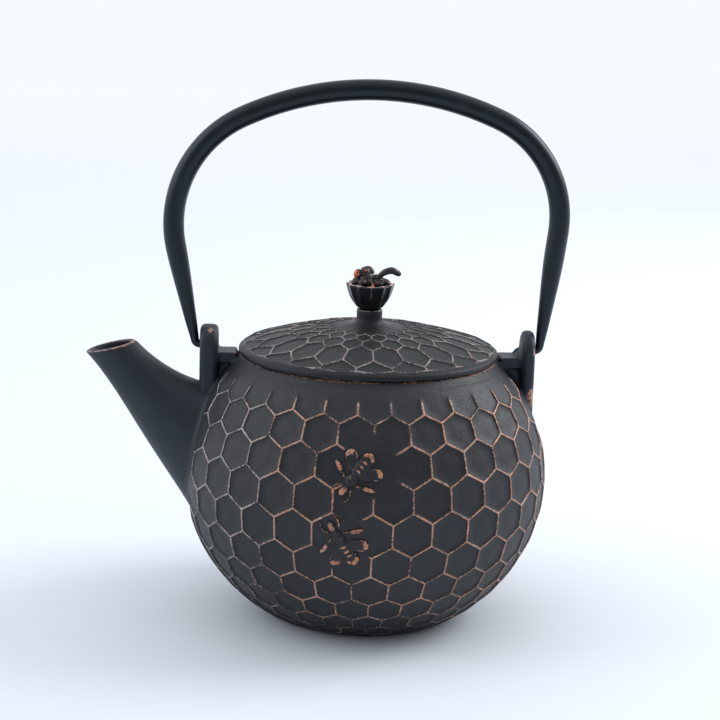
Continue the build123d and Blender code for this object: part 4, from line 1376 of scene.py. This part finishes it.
def makeStrainerWall():
    step = 2 * math.pi * strainer["radius"] / strainer["columns"]
    rise = (strainer["highZ"] - strainer["lowZ"]) / strainer["rows"]
    tile = meshTile("wallHole", step, rise, strainer["wall"], strainer["holeShare"])
    piece = layLattice("strainerWall", tile, meshSteel, Columns=strainer["columns"], Rows=strainer["rows"],
                       Column_step=step, Row_step=rise, Row_shift=0.0, Weld=strainer["weld"])
    bpy.data.objects.remove(tile)
    flat = pointsOf(piece) * mm
    u = flat[:, 0] / strainer["radius"]
    r = strainer["radius"] + flat[:, 2]
    z = strainer["highZ"] - rise / 2 + flat[:, 1]
    setPoints(piece, np.stack([r * np.sin(u), -r * np.cos(u), z], axis=1))
    weldPoints(piece, strainer["weld"])
    faceOutwards(piece)
    closeRims(piece, lambda p: (round((math.atan2(p.x, -p.y) + 0.3) % (2 * math.pi), 3), round(p.z, 1)),
              lambda p: math.hypot(p.x, p.y) > strainer["radius"])
    return dress(piece, "infuser", [meshSteel], ["infuser_wall"])


def makeStrainerFloor():
    step = strainer["floorStep"]
    across = int(strainer["floorWide"] / step)
    tile = meshTile("floorHole", step, step, strainer["wall"], strainer["holeShare"])
    piece = layLattice("strainerFloor", tile, meshSteel, Columns=across, Rows=across, Column_step=step, Row_step=step,
                       Row_shift=0.0, Weld=strainer["weld"])
    bpy.data.objects.remove(tile)
    points = pointsOf(piece) * mm
    middle = (across - 1) * step / 2
    points[:, 0] -= middle
    points[:, 1] += middle
    points[:, 2] += strainer["floorZ"]
    setPoints(piece, points)
    work = bmesh.new()
    work.from_mesh(piece.data)
    far = []                                 # whole holes only, out to where the rim covers them
    for face in work.faces:
        x, y = (round((c / mm + middle) / step) * step - middle for c in face.calc_center_median()[:2])
        if math.hypot(x, y) > strainer["floorR"]:
            far.append(face)
    bmesh.ops.delete(work, geom=far, context="FACES")
    work.to_mesh(piece.data)
    work.free()
    closeRims(piece, lambda p: (round(p.x, 1), round(p.y, 1)), lambda p: p.z > strainer["floorZ"])
    base = len(piece.data.vertices)
    rimPoints, rimFaces = ringSkin(lathe(strainer["floorRim"], 96), loopBack=True)
    points = [tuple(p) for p in pointsOf(piece)] + rimPoints
    faces = [tuple(f.vertices) for f in piece.data.polygons] + [tuple(base + i for i in f) for f in rimFaces]
    bpy.data.objects.remove(piece)
    piece = faceOutwards(newPiece("strainerFloor", points, faces))
    return dress(piece, "infuser", [meshSteel], ["infuser_floor"])


strainerWall = makeStrainerWall()
strainerFloor = makeStrainerFloor()
print("strainer", len(strainerWall.data.polygons), "faces in the wall and", len(strainerFloor.data.polygons),
      "in the floor")

for node, material, slotName in (
        ("infuser_rim", rimSteel, "strainer_steel"), ("infuser_foot_band", rimSteel, "strainer_steel"),
        ("knob_screw", screwSteel, "fastener_steel"), ("knob_washer", screwSteel, "fastener_steel")):
    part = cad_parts[node]
    part.data.materials.clear()
    part.data.materials.append(material)


studio = {
    "lights": {                              # place, target, size, power and colour
        "softLeft": ((-1.1, -0.25, 0.75), (0, 0, 0.1), (0.5, 1.0), 2.6, (0.94, 0.97, 1.0)),
        "softRight": ((1.05, 0.25, 0.8), (0, 0, 0.08), (0.7, 0.7), 9.5, (0.98, 0.99, 1.0)),
    },
    "sky": (0.93, 0.96, 1.0), "window": 0.55,
    "ahead": 1.18, "behind": 0.3,            # the room is brighter beyond the pot than behind the viewer
    "tableNearPaintedShade": (0.72, 0.765, 0.83), "tableFar": (0.93, 0.94, 0.955), "tableX": 30000, "tableY": (-4000, 60000),
    "tableZ": -0.02,
}


def makeFloor():
    material, tree, shader, position = startMaterial("paleTable", Specular_IOR_Level=0.2)
    axes = addNode(tree, "ShaderNodeSeparateXYZ")
    tree.links.new(position, axes.inputs[0])
    # the table is painted darker and bluer towards the viewer, a painted shade, turning to its pale far colour 3 m
    # beyond the pot
    away = rangeNode(tree, axes.outputs["Y"], -0.25, 3.0)
    tree.links.new(mixColour(tree, away, studio["tableNearPaintedShade"], studio["tableFar"]), shader.inputs["Base Color"])
    shader.inputs["Roughness"].default_value = 0.7
    reach, (near, far) = studio["tableX"], studio["tableY"]
    corners = [(-reach, near), (reach, near), (reach, far), (-reach, far)]
    floor = newPiece("tableTop", [(x, y, studio["tableZ"]) for x, y in corners], [(0, 1, 2, 3)])
    floor.data.materials.append(material)


def areaLight(name, place, target, size, power, colour):
    data = bpy.data.lights.new(name, "AREA")
    data.shape = "RECTANGLE"
    data.size, data.size_y = size
    data.energy = power
    data.color = colour
    lamp = bpy.data.objects.new(name, data)
    lamp.location = place
    lamp.rotation_euler = (Vector(target) - Vector(place)).to_track_quat("-Z", "Y").to_euler()
    scene.collection.objects.link(lamp)


makeFloor()
for name, (place, target, size, power, colour) in studio["lights"].items():
    areaLight(name, place, target, size, power, colour)


def makeRoom():
    world = bpy.data.worlds.new("paleRoom")
    scene.world = world
    world.use_nodes = True
    tree = world.node_tree
    ground = tree.nodes["Background"]
    ground.inputs["Color"].default_value = (*studio["sky"], 1.0)
    axes = addNode(tree, "ShaderNodeSeparateXYZ")
    tree.links.new(addNode(tree, "ShaderNodeTexCoord").outputs["Generated"], axes.inputs[0])
    depth = mathNode(tree, "ADD", axes.outputs["Y"], mathNode(tree, "MULTIPLY", axes.outputs["Z"], 0.6))
    strength = rangeNode(tree, depth, -0.8, 0.6, studio["behind"], studio["ahead"])
    window = rangeNode(tree, axes.outputs["X"], -0.35, -1.0, 0.0, studio["window"])
    tree.links.new(mathNode(tree, "ADD", strength, window), ground.inputs["Strength"])


makeRoom()
scene.view_settings.view_transform = "Standard"

view = {"place": (-0.0402, -0.79043, 0.28556), "forward": (0.04533, 0.97560, -0.21484), "roll": 1.756, "lens": 93.66}
forward = Vector(view["forward"]).normalized()
level = forward.cross(Vector((0, 0, 1))).normalized()
upright = level.cross(forward)
roll = math.radians(view["roll"])
right = level * math.cos(roll) + upright * math.sin(roll)
above = upright * math.cos(roll) - level * math.sin(roll)
cameraData = bpy.data.cameras.new("studioCamera")
cameraData.lens = view["lens"]
cameraData.sensor_width = 36.0
cameraData.clip_start, cameraData.clip_end = 0.05, 100.0
camera = bpy.data.objects.new("studioCamera", cameraData)
camera.matrix_world = Matrix.Translation(view["place"]) @ Matrix((right, above, -forward)).transposed().to_4x4()
scene.collection.objects.link(camera)
scene.camera = camera
